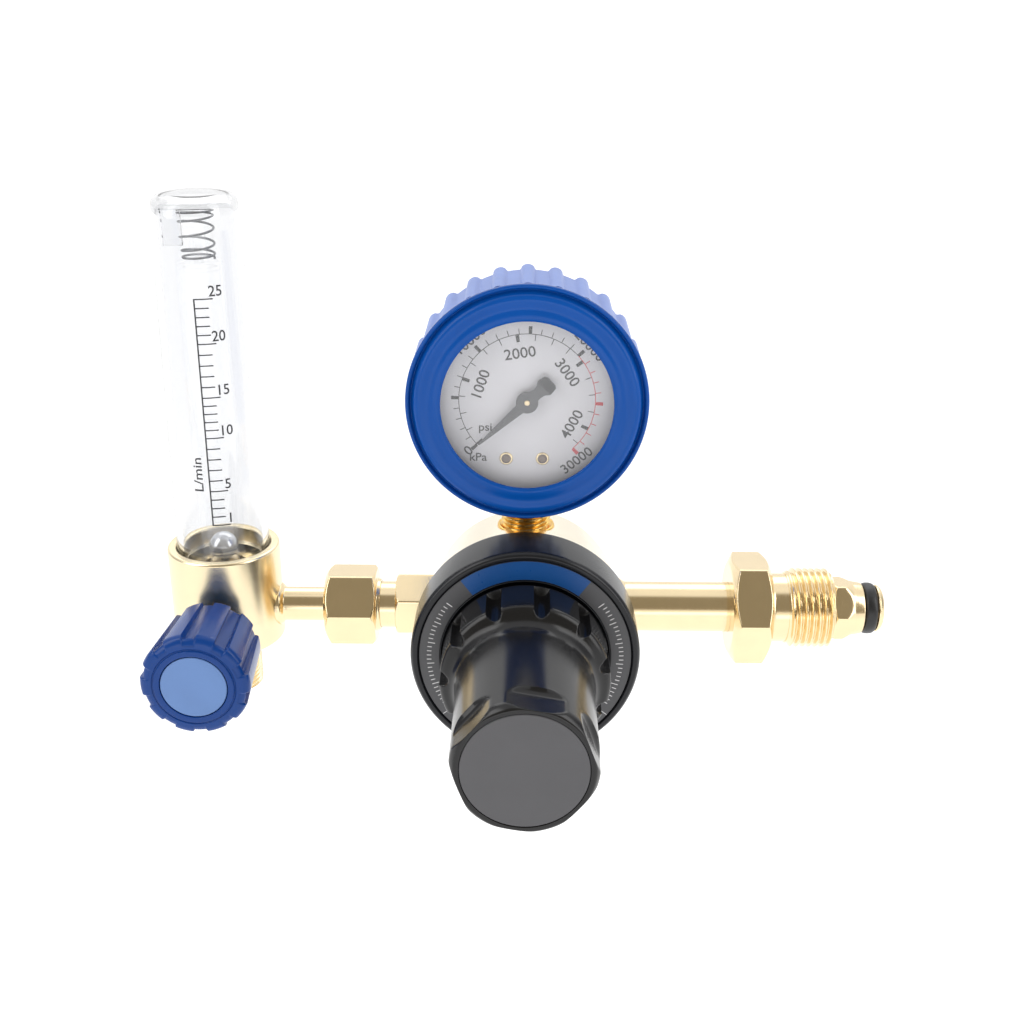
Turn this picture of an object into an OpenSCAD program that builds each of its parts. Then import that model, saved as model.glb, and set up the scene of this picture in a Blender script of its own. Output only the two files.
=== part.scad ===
// Cylinder gas regulator with a bullnose inlet, a contents gauge in a rubber boot and a tube
// flowmeter. Millimetres. +X runs out along the inlet, +Z is up, the knobs point to -Y.
// The origin is on the inlet's axis, where the full thread ends.

/* [Regulator] */
// Radius of the brass body
body_r = 26.5; // [24:0.1:28]
// Rear face of the body, from the pipe axis
body_rear = 10; // [9:0.5:14]
// Front shoulder of the body, from the pipe axis
body_shoulder = 17.3; // [16:0.1:19]
// Radius of the bonnet ring
bonnet_r = 30.9; // [30:0.1:34]
// Front lip of the bonnet ring, from the pipe axis
bonnet_front = 32.2; // [31.5:0.1:33]

/* [Pressure knob] */
// Radius of the fluted skirt
skirt_r = 22.2; // [21:0.1:22.3]
// Radius of the barrel
barrel_r = 17.7; // [17:0.1:18.5]
// Flat to flat size of the knob's six-sided head
head_flats = 32.6; // [30:0.1:33]
// Front face of the knob, from the pipe axis
knob_front = 86.3; // [84:0.1:90]
// Front edge of the fluted skirt, from the pipe axis
skirt_front = 46; // [44:0.5:48]
// Number of flutes
flute_count = 11; // [8:1:14]
// Thread pitch of the adjusting screw
screw_pitch = 1.25; // [1:0.25:1.5]
// Turns from slack to fully wound in
screw_turns = 3.5; // [2:0.5:3.5]

/* [Inlet] */
// Outer end of the inlet thread, from the body axis
inlet_reach = 88.1; // [86:0.1:95]
// Radius of the inlet stem
stem_r = 7.2; // [6.5:0.05:7.5]
// Radius of the inlet thread, 5/8 BSP
inlet_thread_r = 11.455; // [11.4:0.005:11.5]
// Pitch of the inlet thread, 14 per inch
inlet_pitch = 1.814; // [1.8:0.001:1.83]
// Length of the inlet thread
inlet_thread_l = 12.8; // [11:0.1:15]
// Flat to flat size of the inlet nut
inlet_nut_flats = 28.5; // [27:0.5:30]

/* [Gauge] */
// Height of the gauge axis above the pipe axis
gauge_z = 67.2; // [66:0.1:72]
// Radius of the boot's front flange
boot_flange_r = 31.5; // [31:0.1:33]
// Radius of the boot over its ribs
boot_rib_r = 31.3; // [30.5:0.1:31.5]
// Number of ribs on the boot
boot_ribs = 25; // [15:1:30]
// Radius of the boot's window
window_r = 22.3; // [21:0.1:23.5]
// Full sweep of the pointer, degrees
pointer_sweep = 270; // [240:1:270]
// Direction of the pointer at rest, degrees from +X towards +Z
pointer_rest = 222.5; // [215:0.5:228]
// Turn of the dial on its own axis, clockwise from the front, degrees
dial_roll = 2.2; // [0:0.1:3]

/* [Flowmeter] */
// Distance of the flowmeter axis from the body axis
flow_x = 86.4; // [84:0.1:92]
// Radius of the flowmeter body
flow_body_r = 15.75; // [15.5:0.05:17]
// Top rim of the flowmeter body
flow_rim_z = 19.2; // [18:0.1:21]
// Top of the clear cover
cover_top_z = 117.6; // [112:0.1:125]
// Height of the needle valve axis
needle_z = -2.5; // [-3:0.1:-2]
// Front face of the flow knob, from the flowmeter axis
flow_knob_front = 45; // [43:0.5:48]
// Radius of the flow knob at its front
flow_knob_r = 14.6; // [14:0.1:16]
// Number of lobes on the flow knob
flow_knob_lobes = 10; // [8:1:14]
// Radius of the outlet thread, G 3/8
outlet_thread_r = 8.33; // [8.3:0.01:8.4]

/* [Hidden] */
$fn = 96;
slack = 0.05;           // radial running fit
e = 0.01;               // overshoot of a cut

// regulator stack along Y
spigot_r = 25.4;
spigot_front = 24;
chamber_r = 20;
chamber_floor = 12;
slip_front = 26.2;      // face of the bonnet that clamps the diaphragm
bonnet_floor = 28;      // floor of the recess that the knob's skirt enters
label_r_in = 22.9;
label_r_out = 28.6;
label_back = 31.4;
tower_r = 14;
tower_bore = 11;
tower_wall = 64;        // inner side of the tower's threaded end
tower_end = 70;
screw_r = 5;
knob_bore = 14.7;
knob_ceiling = 75.5;
skirt_rear = 33;
flute_w = 3.8;
flute_r = 21.3;
cap_r = 15.24;
cap_t = 1.8;
head_start = 77.6;
port_face = 25.4;       // flat spot faces where the side fittings seat
collar_r = 8.3;
adaptor_flats = 17;

// inlet, along X from the body axis
nut_start = inlet_reach - 29.4;
nut_hex_end = inlet_reach - 18;
thread_start = inlet_reach - inlet_thread_l;
nipple_start = inlet_reach + 0.4;
nose_end = inlet_reach + 14.9;
thread_turns = floor(inlet_thread_l / inlet_pitch);
thread_lead = 0.38 * inlet_pitch + (inlet_thread_l - thread_turns * inlet_pitch) / 2;

// gauge stack along Y
boot_front = 22.3;
boot_rear = 7;
boot_shell_r = 29.8;
case_r = 27;
case_rear = 5.5;
case_front = 19.3;
dial_y = 16.2;
tube_r = 20;            // mean radius of the Bourdon tube
gear_module = 0.2;
pinion_teeth = 12;
sector_teeth = 96;      // teeth of the whole wheel that the sector is cut from
gear_distance = gear_module * (pinion_teeth + sector_teeth) / 2;
sector_swing = pointer_sweep * pinion_teeth / sector_teeth;
tail_l = 4;
arbor_r = 0.6;

// outlet and flowmeter
union_start = -57.6;
union_end = -41.7;
union_flats = 20.5;
adaptor_neck_r = 6.75;
flow_stem_r = 4.9;
cover_r = 13;
cover_top_r = 11.5;
seat_r = 13.2;
tube_out_r = 6;
tube_top = 98;
ball_r = 4.1;
ball_z = 18.5;
outlet_end = -26;

// ---- shared shapes ----

// From the regulator's own centre to the origin at the inlet
module placed() { translate([thread_lead - inlet_reach, 0, 0]) children(); }
module along_x() { rotate([0, 90, 0]) children(); }
module along_y() { rotate([-90, 0, 0]) children(); }
// Turned about Y so that +X points to an angle seen from the front
module at_angle(a) { rotate([0, -a, 0]) children(); }
module at_gauge() { translate([0, 0, gauge_z]) children(); }
module at_flow() { translate([-flow_x, 0, 0]) children(); }
module at_needle() { translate([-flow_x, 0, needle_z]) children(); }

// Solid of revolution about Z from points [r, z]
module lathe(points) { rotate_extrude() polygon(points); }

// Round bar from z = a to z = b with chamfers c
module rod(r, a, b, c = 0) {
    if (c == 0) lathe([[0, a], [r, a], [r, b], [0, b]]);
    else lathe([[0, a], [r - c, a], [r, a + c], [r, b - c], [r - c, b], [0, b]]);
}

// Round tube from z = a to z = b with outer chamfers c
module tube(r_in, r_out, a, b, c = 0) {
    if (c == 0) lathe([[r_in, a], [r_out, a], [r_out, b], [r_in, b]]);
    else lathe([[r_in, a], [r_out - c, a], [r_out, a + c], [r_out, b - c], [r_out - c, b],
                [r_in, b]]);
}

// Hexagonal bar with turned corners
module hex_bar(flats, a, b, turn = 0, c = 1) {
    corner = flats / sqrt(3);
    intersection() {
        translate([0, 0, a]) rotate([0, 0, turn]) cylinder(r = corner, h = b - a, $fn = 6);
        rod(corner + 0.02, a - e, b + e, c + (corner - flats / 2) / 2);
    }
}

// Points of a turned thread from z = a to z = b: flat crests, V roots, both ends chamfered
function thread_points(r, depth, pitch, a, b) =
    let(turns = floor((b - a) / pitch), first = a + ((b - a) - turns * pitch) / 2)
    [[r - depth, a], for (i = [0:turns - 1]) each [
        [r - depth, first + i * pitch + 0.08 * pitch], [r, first + (i + 0.38) * pitch],
        [r, first + (i + 0.62) * pitch], [r - depth, first + (i + 0.92) * pitch]],
     [r - depth, b]];

// Threaded bar or tube, with a bore of r_in
module threaded(r_in, r, depth, pitch, a, b) {
    lathe(concat([[r_in, a]], thread_points(r, depth, pitch, a, b), [[r_in, b]]));
}

// Wire coil about Z from z = a to z = b whose radius runs from r0 to r1
module coil(r0, r1, wire, a, b, turns, steps = 20, sides = 6) {
    n = turns * steps;
    ring = function (i) let(t = i / n, ang = 360 * i / steps, r = r0 + (r1 - r0) * t,
                            z = a + wire / 2 + (b - a - wire) * t)
        [for (k = [0:sides - 1]) let(s = 360 * k / sides, q = r + wire / 2 * cos(s))
            [q * cos(ang), q * sin(ang), z + wire / 2 * sin(s)]];
    points = [for (i = [0:n]) each ring(i)];
    walls = [for (i = [0:n - 1], k = [0:sides - 1]) let(m = (k + 1) % sides)
        [i * sides + k, (i + 1) * sides + k, (i + 1) * sides + m, i * sides + m]];
    ends = [[for (k = [0:sides - 1]) k], [for (k = [sides - 1:-1:0]) n * sides + k]];
    polyhedron(points, concat(walls, ends), convexity = 10);
}

// One involute flank point at radius r of a gear of pitch radius rp
function involute(r, rb) = let(t = sqrt(max(0, r * r / (rb * rb) - 1))) t * 180 / PI - atan(t);

// Outline of gear teeth from number first to number last, as [x, y] points
function gear_points(m, teeth, first, last, thin = 0.06) =
    let(rp = m * teeth / 2, rb = rp * cos(20), rt = rp + 0.9 * m, rr = rp - 1.25 * m,
        half = 90 / teeth - thin / rp * 90 / PI + involute(rp, rb),
        low = max(rr, rb), radii = [low, (low + rt) / 2, rt],
        root = half - involute(low, rb) + 0.15)
    [for (i = [first:last]) each concat(
        [polar(rr - 0.01, i * 360 / teeth - root)],
        [for (r = radii) polar(r, i * 360 / teeth - half + involute(r, rb))],
        [for (k = [2:-1:0]) polar(radii[k], i * 360 / teeth + half - involute(radii[k], rb))],
        [polar(rr - 0.01, i * 360 / teeth + root)])];
function polar(r, a) = [r * cos(a), r * sin(a)];

// ---- regulator ----

module regulator_body() {
    color("#d9c489") placed() difference() {
        union() {
            along_y() lathe([[0, -body_shoulder], [body_r, -body_shoulder],
                             [body_r, body_rear - 1.2], [body_r - 1.2, body_rear], [0, body_rear]]);
            along_y() rod(spigot_r, -spigot_front, -body_shoulder + e);
        }
        along_y() rod(chamber_r, -spigot_front - e, -chamber_floor);
        along_y() rod(7, -chamber_floor - e, -6);               // nozzle thread
        along_y() rod(5, -6 - e, 6);                            // high pressure chamber
        along_x() rod(2, 0, 18);                                // inlet passage
        along_x() rod(6, 17, port_face + e);                    // inlet stem socket
        along_x() rod(collar_r + 0.2, port_face, body_r + 1);
        translate([-17, 0, 0]) along_x() rod(1.5, -1, 3);       // outlet passage
        translate([-15, 0, 0]) along_y() rod(1.5, -chamber_floor - e, 1);
        along_x() rod(5.5, -port_face - e, -17);                // outlet adaptor socket
        along_x() rod(10.2, -body_r - 1, -port_face);
        rod(1.5, 0, 15);                                        // gauge passage
        rod(6, 14, 26);                                         // gauge port
        rod(7.4, 25.6, 28);
    }
}

module bonnet() {
    color("#16171a") placed() along_y() lathe([
        [screw_r + slack, -tower_end], [tower_r - 1, -tower_end], [tower_r, -tower_end + 1],
        [tower_r, -bonnet_floor], [skirt_r + 0.4, -bonnet_floor], [skirt_r + 0.4, -bonnet_front],
        [label_r_in, -bonnet_front], [label_r_in, -label_back], [label_r_out, -label_back],
        [label_r_out + 0.5, -bonnet_front], [bonnet_r - 1, -bonnet_front],
        [bonnet_r, -bonnet_front + 1], [bonnet_r, -body_shoulder - 0.5],
        [bonnet_r - 0.5, -body_shoulder], [spigot_r + 0.1, -body_shoulder],
        [spigot_r + 0.1, -slip_front], [tower_bore, -slip_front], [tower_bore, -tower_wall],
        [screw_r + slack, -tower_wall]]);
}

module label_ring() {
    color("#4a4b4e") placed() along_y()
        tube(label_r_in + 0.1, label_r_out - 0.1, -label_back - 0.4, -label_back);
}

module slip_ring() {
    color("silver") placed() along_y()
        tube(chamber_r, spigot_r - 0.1, -slip_front, -spigot_front - 1);
}

module diaphragm() {
    color("#2b2b2b") placed() along_y() tube(2.1, spigot_r - 0.1, -spigot_front - 1, -spigot_front);
}

module diaphragm_plate() {
    color("#cdb777") placed() along_y() {
        rod(12, -spigot_front, -spigot_front + 1.4);
        rod(2, -spigot_front - 1, -spigot_front);
    }
}

module spring_seat() {
    color("#c9c9c4") placed() along_y() {
        rod(10.4, -spigot_front - 3.5, -spigot_front - 1);
        rod(6.5, -spigot_front - 7, -spigot_front - 3.5, 0.8);
    }
}

module main_spring() {
    color("#8d9094") placed() along_y()
        coil(8.5, 8.5, 2.6, -56, -spigot_front - 3.5, 5, steps = 20, sides = 8);
}

module spring_button() {
    color("#c9c9c4") placed() along_y() {
        rod(10.4, -60, -56);
        rod(6.5, -56, -52.5, 0.8);
    }
}

module adjusting_screw() {
    color("#b9bbbe") placed() along_y() {
        rod(screw_r, -knob_front + 3, -60, 0.8);
        hex_bar(16, -knob_front + 3, -knob_front + 8, 0, 0.3);
    }
}

module knob_flutes() {
    for (i = [0:flute_count - 1])
        at_angle(79 + i * 360 / flute_count) along_y() hull()
            for (r = [flute_r, flute_r + 3])
                translate([r, 0, 0])
                    cylinder(r = flute_w / 2, h = skirt_front - skirt_rear + 0.8, $fn = 32);
}

module knob_flats() {
    for (i = [0:5])
        at_angle(20 + 60 * i) translate([head_flats / 2, -knob_front - 1, -15])
            cube([6, knob_front + 1 - head_start, 30]);
}

module pressure_knob() {
    color("#121214") placed() difference() {
        along_y() lathe([
            [0, -knob_front], [barrel_r - 1.4, -knob_front], [barrel_r, -knob_front + 1.4],
            [barrel_r, -skirt_front - 2], [barrel_r + 1.2, -skirt_front - 0.6],
            [skirt_r - 1.2, -skirt_front], [skirt_r, -skirt_front + 1.2],
            [skirt_r, -skirt_rear], [0, -skirt_rear]]);
        along_y() rod(knob_bore, -knob_ceiling, -skirt_rear + e);
        along_y() rod(18, -41, -skirt_rear + e);
        along_y() rod(screw_r, -knob_front + 3 + e, -knob_ceiling + 1);
        along_y() hex_bar(16.3, -knob_front + 1, -knob_front + 8, 0, 0.3);
        along_y() rod(cap_r + 0.25, -knob_front - e, -knob_front + cap_t);
        translate([0, -skirt_front - 2, 0]) knob_flutes();
        knob_flats();
    }
}

module knob_cap_disc() {
    color("#59595c") placed() along_y()
        rod(cap_r, -knob_front, -knob_front + cap_t, 0.3);
}

module valve_nozzle() {
    color("#cdb777") placed() along_y() difference() {
        union() {
            hex_bar(15, -chamber_floor - 2.5, -chamber_floor, 0, 0.3);
            rod(6.95, -chamber_floor, -6.2);
            rod(2.6, -6.2, -5.6);
        }
        rod(1.6, -chamber_floor - 3, -5);
    }
}

module valve_poppet() {
    color("#e8e4d8") placed() along_y() {
        rod(1.1, -spigot_front + 1.4, -5.54);
        rod(3.6, -5.54, -2.6, 0.4);
        rod(1.5, -2.6, 1);
    }
}

module poppet_spring() {
    color("#8d9094") placed() along_y() coil(2.6, 2.6, 0.7, -2.55, 5.95, 6, steps = 16);
}

// ---- inlet ----

module inlet_stem() {
    color("#dcc78c") placed() along_x() difference() {
        union() {
            rod(5.95, 17.1, port_face + e);
            rod(collar_r, port_face, port_face + 2.4, 0.6);
            rod(stem_r, port_face + 2, nipple_start - 0.1, 0.6);
        }
        rod(3, 10, nipple_start + 1);
        rod(4.5, nipple_start - 10.5, nipple_start + 1);
    }
}

module inlet_filter() {
    color("#b08d57") placed() along_x() rod(2.95, nipple_start - 18.5, nipple_start - 10.6, 0.4);
}

module inlet_nut() {
    color("#dcc78c") placed() along_x() difference() {
        union() {
            hex_bar(inlet_nut_flats, nut_start, nut_hex_end, 25, 0.8);
            rod(10, nut_hex_end - e, thread_start + e);
            threaded(0, inlet_thread_r, 1.16, inlet_pitch, thread_start, inlet_reach);
        }
        rod(stem_r + slack, nut_start - 1, inlet_reach + 1);
    }
}

module bullnose_nipple() {
    color("#dcc78c") placed() along_x() difference() {
        union() {
            rod(4.45, nipple_start - 10.4, nipple_start + e);
            intersection() {
                rotate([0, 0, 25]) translate([0, 0, nipple_start])
                    cylinder(r = 16 / sqrt(3), h = 9, $fn = 6);
                lathe([[0, nipple_start], [8.6, nipple_start], [9.3, nipple_start + 0.7],
                       [9.3, nipple_start + 2.5], [7.3, nipple_start + 8.6],
                       [0, nipple_start + 8.6]]);
            }
            rod(5.6, nipple_start + 8, nose_end - 1.9);
            lathe([[0, nose_end - 2], [6.7, nose_end - 2], [6.9, nose_end - 1.6],
                   [6.2, nose_end - 0.5], [5, nose_end], [0, nose_end]]);
        }
        rod(1.8, 60, nose_end + 1);
    }
}

module inlet_o_ring() {
    color("#1c1c1e") placed() along_x()
        tube(5.65, 7.45, nipple_start + 8.8, nose_end - 2.1, 0.7);
}

// ---- gauge ----

module gauge_socket() {
    color("#cfae5e") placed() difference() {
        union() {
            rod(5.95, 16, 25.8);
            threaded(0, 6.85, 0.9, 1.411, 25.7, 36.5);
            rod(6.4, 36.4, 41.5);
            translate([-12, -4.6, 41]) cube([20, 8.8, gauge_z - 57.7]);
        }
        rod(1.5, 10, 45);
        // the block follows the inside of the case
        at_gauge() along_y() tube(case_r - 1, case_r + 8, -5, 4.5);
    }
    color("#cfae5e") placed() rod(6.4, 36.4, 42);
}

module gauge_case() {
    color("#c4c6c8") placed() difference() {
        at_gauge() along_y() lathe([
            [0, case_rear], [case_r, case_rear], [case_r, -case_front], [case_r - 0.8, -case_front],
            [case_r - 0.8, case_rear - 0.8], [0, case_rear - 0.8]]);
        rod(6.45, 30, 45);
    }
}

module gauge_boot() {
    color("#0c4ea2") placed() difference() {
        at_gauge() {
            along_y() lathe([
                [18, boot_rear], [boot_shell_r - 1, boot_rear],
                [boot_shell_r, boot_rear - 1], [boot_shell_r, -17], [boot_flange_r - 0.4, -18.4],
                [boot_flange_r, -19], [boot_flange_r, -20.2], [boot_flange_r - 0.5, -20.7],
                [30.4, -20.4], [30, -19.6], [29.5, -20], [29, -21.6], [28, -boot_front + 0.1],
                [25.2, -21.9], [24.2, -boot_front], [23, -boot_front], [window_r, -22],
                [window_r, -21.4], [case_r + 0.1, -21.4], [case_r + 0.1, case_rear + 0.1],
                [18, case_rear + 0.1]]);
            for (i = [0:boot_ribs - 1])
                at_angle(90 + i * 360 / boot_ribs) translate([boot_rib_r - 1.9, -18, 0])
                    along_y() difference() {
                        rod(1.9, 0, boot_rear + 17.5);
                        translate([-3, -3, -1]) cube([2.3, 6, boot_rear + 20]);
                    }
        }
        rod(8, 20, 50);                                 // clear of the threaded stem
        translate([-8, 0, 20]) cube([16, boot_rear + 1, 30]);
    }
}

module lens_ring() {
    color("#b9bbbe") placed() at_gauge() along_y() lathe([
        [24.2, -21.3], [case_r, -21.3], [case_r, -case_front - e], [case_r - 0.7, -case_front - e],
        [case_r - 0.7, -20.6], [24.2, -20.6]]);
}

module gauge_lens() {
    color("#dfe9f2", 0.3) placed() at_gauge() along_y() rod(case_r - 0.95, -20.55, -18.8, 0.2);
}

module lens_gasket() {
    color("#2b2b2b") placed() at_gauge() along_y() tube(24.6, case_r - 0.9, -18.75, -17.2);
}

module at_dial_screws() {
    at_angle(-dial_roll) for (x = [-4.8, 4.8]) translate([x, 0, -16]) children();
}

module dial_plate() {
    color("#e6e8ea") placed() at_gauge() difference() {
        along_y() tube(1.5, case_r - 1, -dial_y, -dial_y + 0.5);
        at_dial_screws() along_y() rod(0.9, -dial_y - 1, -dial_y + 1);
    }
}

module dial_screws() {
    color("#c8a24a") placed() at_gauge() at_dial_screws() along_y() {
        rod(1.3, -dial_y - 0.7, -dial_y, 0.2);
        rod(0.85, -dial_y, -dial_y + 3.5);
    }
}

// Flat pointer with a wide tail, at rest on zero, down to the left
module pointer() {
    color("#55585c") placed() at_gauge() at_angle(pointer_rest) along_y() {
        difference() {
            union() {
                translate([0, 0, -dial_y - 2]) linear_extrude(0.5) {
                    polygon([[2.4, 1.5], [17.1, 0.25], [17.1, -0.25], [2.4, -1.5]]);
                    circle(r = 2.9);
                    polygon([[-2, 1.3], [-4.8, 1.7], [-6, 2.6], [-8.2, 2.2], [-8.6, 1.4],
                             [-8.6, -1.4], [-8.2, -2.2], [-6, -2.6], [-4.8, -1.7], [-2, -1.3]]);
                }
                rod(1.4, -dial_y - 1.6, -dial_y - 0.4);
            }
            rod(arbor_r, -dial_y - 3, -dial_y);
        }
    }
}

module pinion_arbor() {
    color("#cfae5e") placed() at_gauge() along_y() {
        rod(arbor_r, -dial_y - 2.3, -0.3);
        translate([0, 0, -4.7])
            linear_extrude(1.4) polygon(gear_points(gear_module, pinion_teeth, 0, pinion_teeth - 1));
    }
}

// Sector below the arbor, its teeth running to the right of it at rest
module sector_gear() {
    pitch_a = 360 / sector_teeth;
    span = ceil(sector_swing / pitch_a) + 1;
    plate_t = 0.8;
    color("#cfae5e") placed() at_gauge() translate([0, -3.6, -gear_distance]) {
        // half a pitch of turn puts a tooth space on the centre line
        at_angle(90 + pitch_a / 2) rotate([90, 0, 0]) linear_extrude(plate_t)
            polygon(concat([[0, 0.3], [0, -0.3]],
                           gear_points(gear_module, sector_teeth, -span, 1)));
        at_angle(270 - sector_swing / 2) {
            translate([0.6, -plate_t, -0.7]) cube([tail_l - 0.6, plate_t, 1.4]);
            translate([tail_l, 0, 0]) along_y() {
                rod(1, -plate_t - 0.1, 0.1);
                rod(0.45, 0, 1.4);
            }
        }
        along_y() rod(1.6, -plate_t - 0.2, 0.2);
        along_y() rod(arbor_r, -2, 3.3);
    }
}

// Two brass plates on four pillars, with the holes that carry both arbors, and the dial's posts
module movement_frame() {
    color("#d2b266") placed() at_gauge() difference() {
        union() {
            for (y = [-6, -0.9])
                translate([-7.5, y, -16.7]) cube([15, 0.7, 21.4]);
            for (x = [-6.4, 6.4], z = [-15.6, 3.2])
                translate([x, 0, z]) along_y() rod(0.9, -5.4, -0.8);
            at_dial_screws() along_y() rod(1.5, -dial_y + 0.5, -5.9);
        }
        along_y() rod(arbor_r + slack, -7, 1);
        translate([0, 0, -gear_distance]) along_y() rod(arbor_r + slack, -7, 1);
        at_dial_screws() along_y() rod(0.85, -dial_y - 1, -dial_y + 3.5);
    }
}

// C-shaped flattened tube, from the socket block round to its free end at the right
module bourdon_tube() {
    color("#b88a4a") placed() at_gauge() along_y() translate([0, 0, -0.2])
        rotate([0, 0, 118]) rotate_extrude(angle = 267) translate([tube_r, 0]) difference() {
            union() {
                square([2.4, 5.6], center = true);
                for (y = [-2.8, 2.8]) translate([0, y]) circle(r = 1.2, $fn = 32);
            }
            square([1.2, 5.6], center = true);
        }
}

// End block of the Bourdon tube and the link from it to the sector's tail
module bourdon_link() {
    tail_a = sector_swing / 2;
    tail = [-tail_l * sin(tail_a), -gear_distance - tail_l * cos(tail_a)];
    tip = [15.2, -10.6];
    run = tip - tail;
    color("#cfae5e") placed() at_gauge() {
        difference() {
            union() {
                translate([tail[0], -3.3, tail[1]]) at_angle(atan2(run[1], run[0])) {
                    translate([0, 0, -0.6]) cube([norm(run), 0.8, 1.2]);
                    along_y() rod(1.25, 0, 0.8);
                }
                translate([tip[0], 0, tip[1]]) along_y() rod(1.3, -3.6, 1.6);
            }
            translate([tail[0], 0, tail[1]]) along_y() rod(0.8, -4, 0);
        }
    }
}

module hair_spring() {
    turns = 4;
    r_at = function (a, side) 1 + a / 360 * 0.75 + side;
    color("#9a9c9f") placed() at_gauge() along_y() translate([0, 0, -2.9]) linear_extrude(0.5)
        polygon(concat([for (a = [0:15:360 * turns]) polar(r_at(a, 0), a)],
                       [for (a = [360 * turns:-15:0]) polar(r_at(a, 0.18), a)]));
}

// ---- outlet and flowmeter ----

module outlet_adaptor() {
    color("#dcc78c") placed() along_x() difference() {
        union() {
            rod(5.45, -port_face - e, -17.1);
            hex_bar(adaptor_flats, -37.2, -port_face, 30, 0.5);
            rod(adaptor_neck_r, -47.5, -37.2 + e, 0.5);
        }
        rod(2.5, -49, -17);
    }
}

module union_nut() {
    color("#dcc78c") placed() along_x() difference() {
        union() {
            hex_bar(union_flats, union_start, union_end - 1.2, 24, 0.8);
            rod(7.6, union_end - 1.3, union_end);
        }
        rod(flow_stem_r + slack, union_start - 1, union_end + 1);
        rod(adaptor_neck_r + slack, union_start + 5, union_end + 1);
    }
}

module flow_stem() {
    color("#dcc78c") placed() along_x() difference() {
        union() {
            rod(flow_stem_r, -flow_x + 12, -47.7);
            rod(6.4, union_start + 5.3, -47.7, 0.5);
            lathe([[0, -flow_x + flow_body_r - 1.5], [6.6, -flow_x + flow_body_r - 1.5],
                   [6.1, -flow_x + flow_body_r + 0.4], [flow_stem_r, -flow_x + flow_body_r + 1.6],
                   [0, -flow_x + flow_body_r + 1.6]]);
        }
        rod(2.5, -flow_x + 11, -40);
    }
}

module flowmeter_body() {
    color("#d8c285") placed() at_flow() difference() {
        rod(flow_body_r, -10, flow_rim_z, 0.8);
        rod(seat_r, 12.6, flow_rim_z + 1);
        rod(tube_out_r + 0.3, 8, 13);                   // metering tube pocket
        rod(2, -1, 9);                                  // passage up to the metering tube
        along_x() rod(1.8, 0, 13);
        along_x() rod(4.95, 11.9, 17);                  // flow stem socket
        along_x() rod(6.7, 14.2, 17);
        translate([0, -9.5, needle_z]) rod(1.2, 0, 16); // passage down from the cover
        translate([0, 0, needle_z]) {
            along_y() rod(5, -flow_body_r - 1, -8);     // gland thread
            along_y() rod(1.2, -9, -4);
            along_y() rod(8, -flow_body_r - 1, -flow_body_r + 0.8);
        }
        translate([0, -5, -11]) rod(1.3, 0, 8.5);
        rod(6, -11, -6);                                // outlet fitting thread
    }
}

module outlet_fitting() {
    color("#dcc78c") placed() at_flow() difference() {
        union() {
            rod(5.95, -10 - e, -6.2);
            hex_bar(17, -14, -10, 15, 0.4);
            threaded(0, outlet_thread_r, 0.85, 1.337, outlet_end, -14 + e);
        }
        rod(3.2, outlet_end - 1, -5);
    }
}

module tube_cover() {
    color("#eef4f8", 0.35) placed() at_flow() lathe([
        [11.3, 14.2], [seat_r - 0.1, 14.2], [seat_r - 0.1, flow_rim_z - 0.6],
        [cover_r, flow_rim_z + 1], [cover_top_r, cover_top_z - 4], [cover_top_r - 0.6, cover_top_z - 1.6],
        [cover_top_r - 2.2, cover_top_z - 0.2], [cover_top_r - 4, cover_top_z], [0, cover_top_z],
        [0, cover_top_z - 2], [cover_top_r - 3.6, cover_top_z - 2],
        [cover_top_r - 1.8, cover_top_z - 4.6]]);
}

module cover_o_ring() {
    color("#1c1c1e") placed() at_flow() tube(11.3, seat_r - 0.1, 12.6, 14.15, 0.4);
}

module metering_tube() {
    color("#f2f7fb", 0.35) placed() at_flow()
        lathe([[4.3, 9.6], [tube_out_r, 9.6], [tube_out_r, tube_top], [5.2, tube_top]]);
}

module tube_seals() {
    color("#303236") placed() at_flow() {
        tube(2.2, tube_out_r, 8, 9.55);
        tube(4.4, tube_out_r, tube_top + 0.05, tube_top + 1);
    }
}

module float_seat() {
    color("#cdb777") placed() at_flow() tube(1.4, 4.2, 9.6, ball_z - ball_r - 0.1, 0.5);
}

module float_ball() {
    color("#d9dde0") placed() at_flow() translate([0, 0, ball_z]) sphere(r = ball_r);
}

module tube_spring() {
    color("#6f7275") placed() at_flow()
        coil(3.4, 4.6, 0.8, tube_top + 2.3, cover_top_z - 2.05, 5, steps = 20);
}

module spring_guide() {
    color("#eef4f8", 0.4) placed() at_flow() {
        tube(1.2, tube_out_r, tube_top + 1.05, tube_top + 2.2, 0.2);
        rod(2.2, tube_top + 2.1, tube_top + 9, 0.4);
    }
}

module needle_gland() {
    color("#dcc78c") placed() at_needle() along_y() difference() {
        union() {
            rod(4.95, -flow_body_r + 0.8 - e, -11.6);
            hex_bar(14, -19, -flow_body_r + 0.8, 0, 0.4);
        }
        rod(3 + slack, -20, -10);
    }
}

module needle_stem() {
    color("#c9c9c4") placed() at_needle() along_y() difference() {
        union() {
            rod(3, -flow_knob_front + 6, -10.6);
            lathe([[0, -10.7], [2.2, -10.7], [1.1, -8.3], [0.2, -5.8], [0, -5.8]]);
        }
        tube(2, 3.2, -15, -13);
    }
}

module needle_o_ring() {
    color("#1c1c1e") placed() at_needle() along_y() tube(2.05, 3, -14.9, -13.1, 0.2);
}

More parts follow.
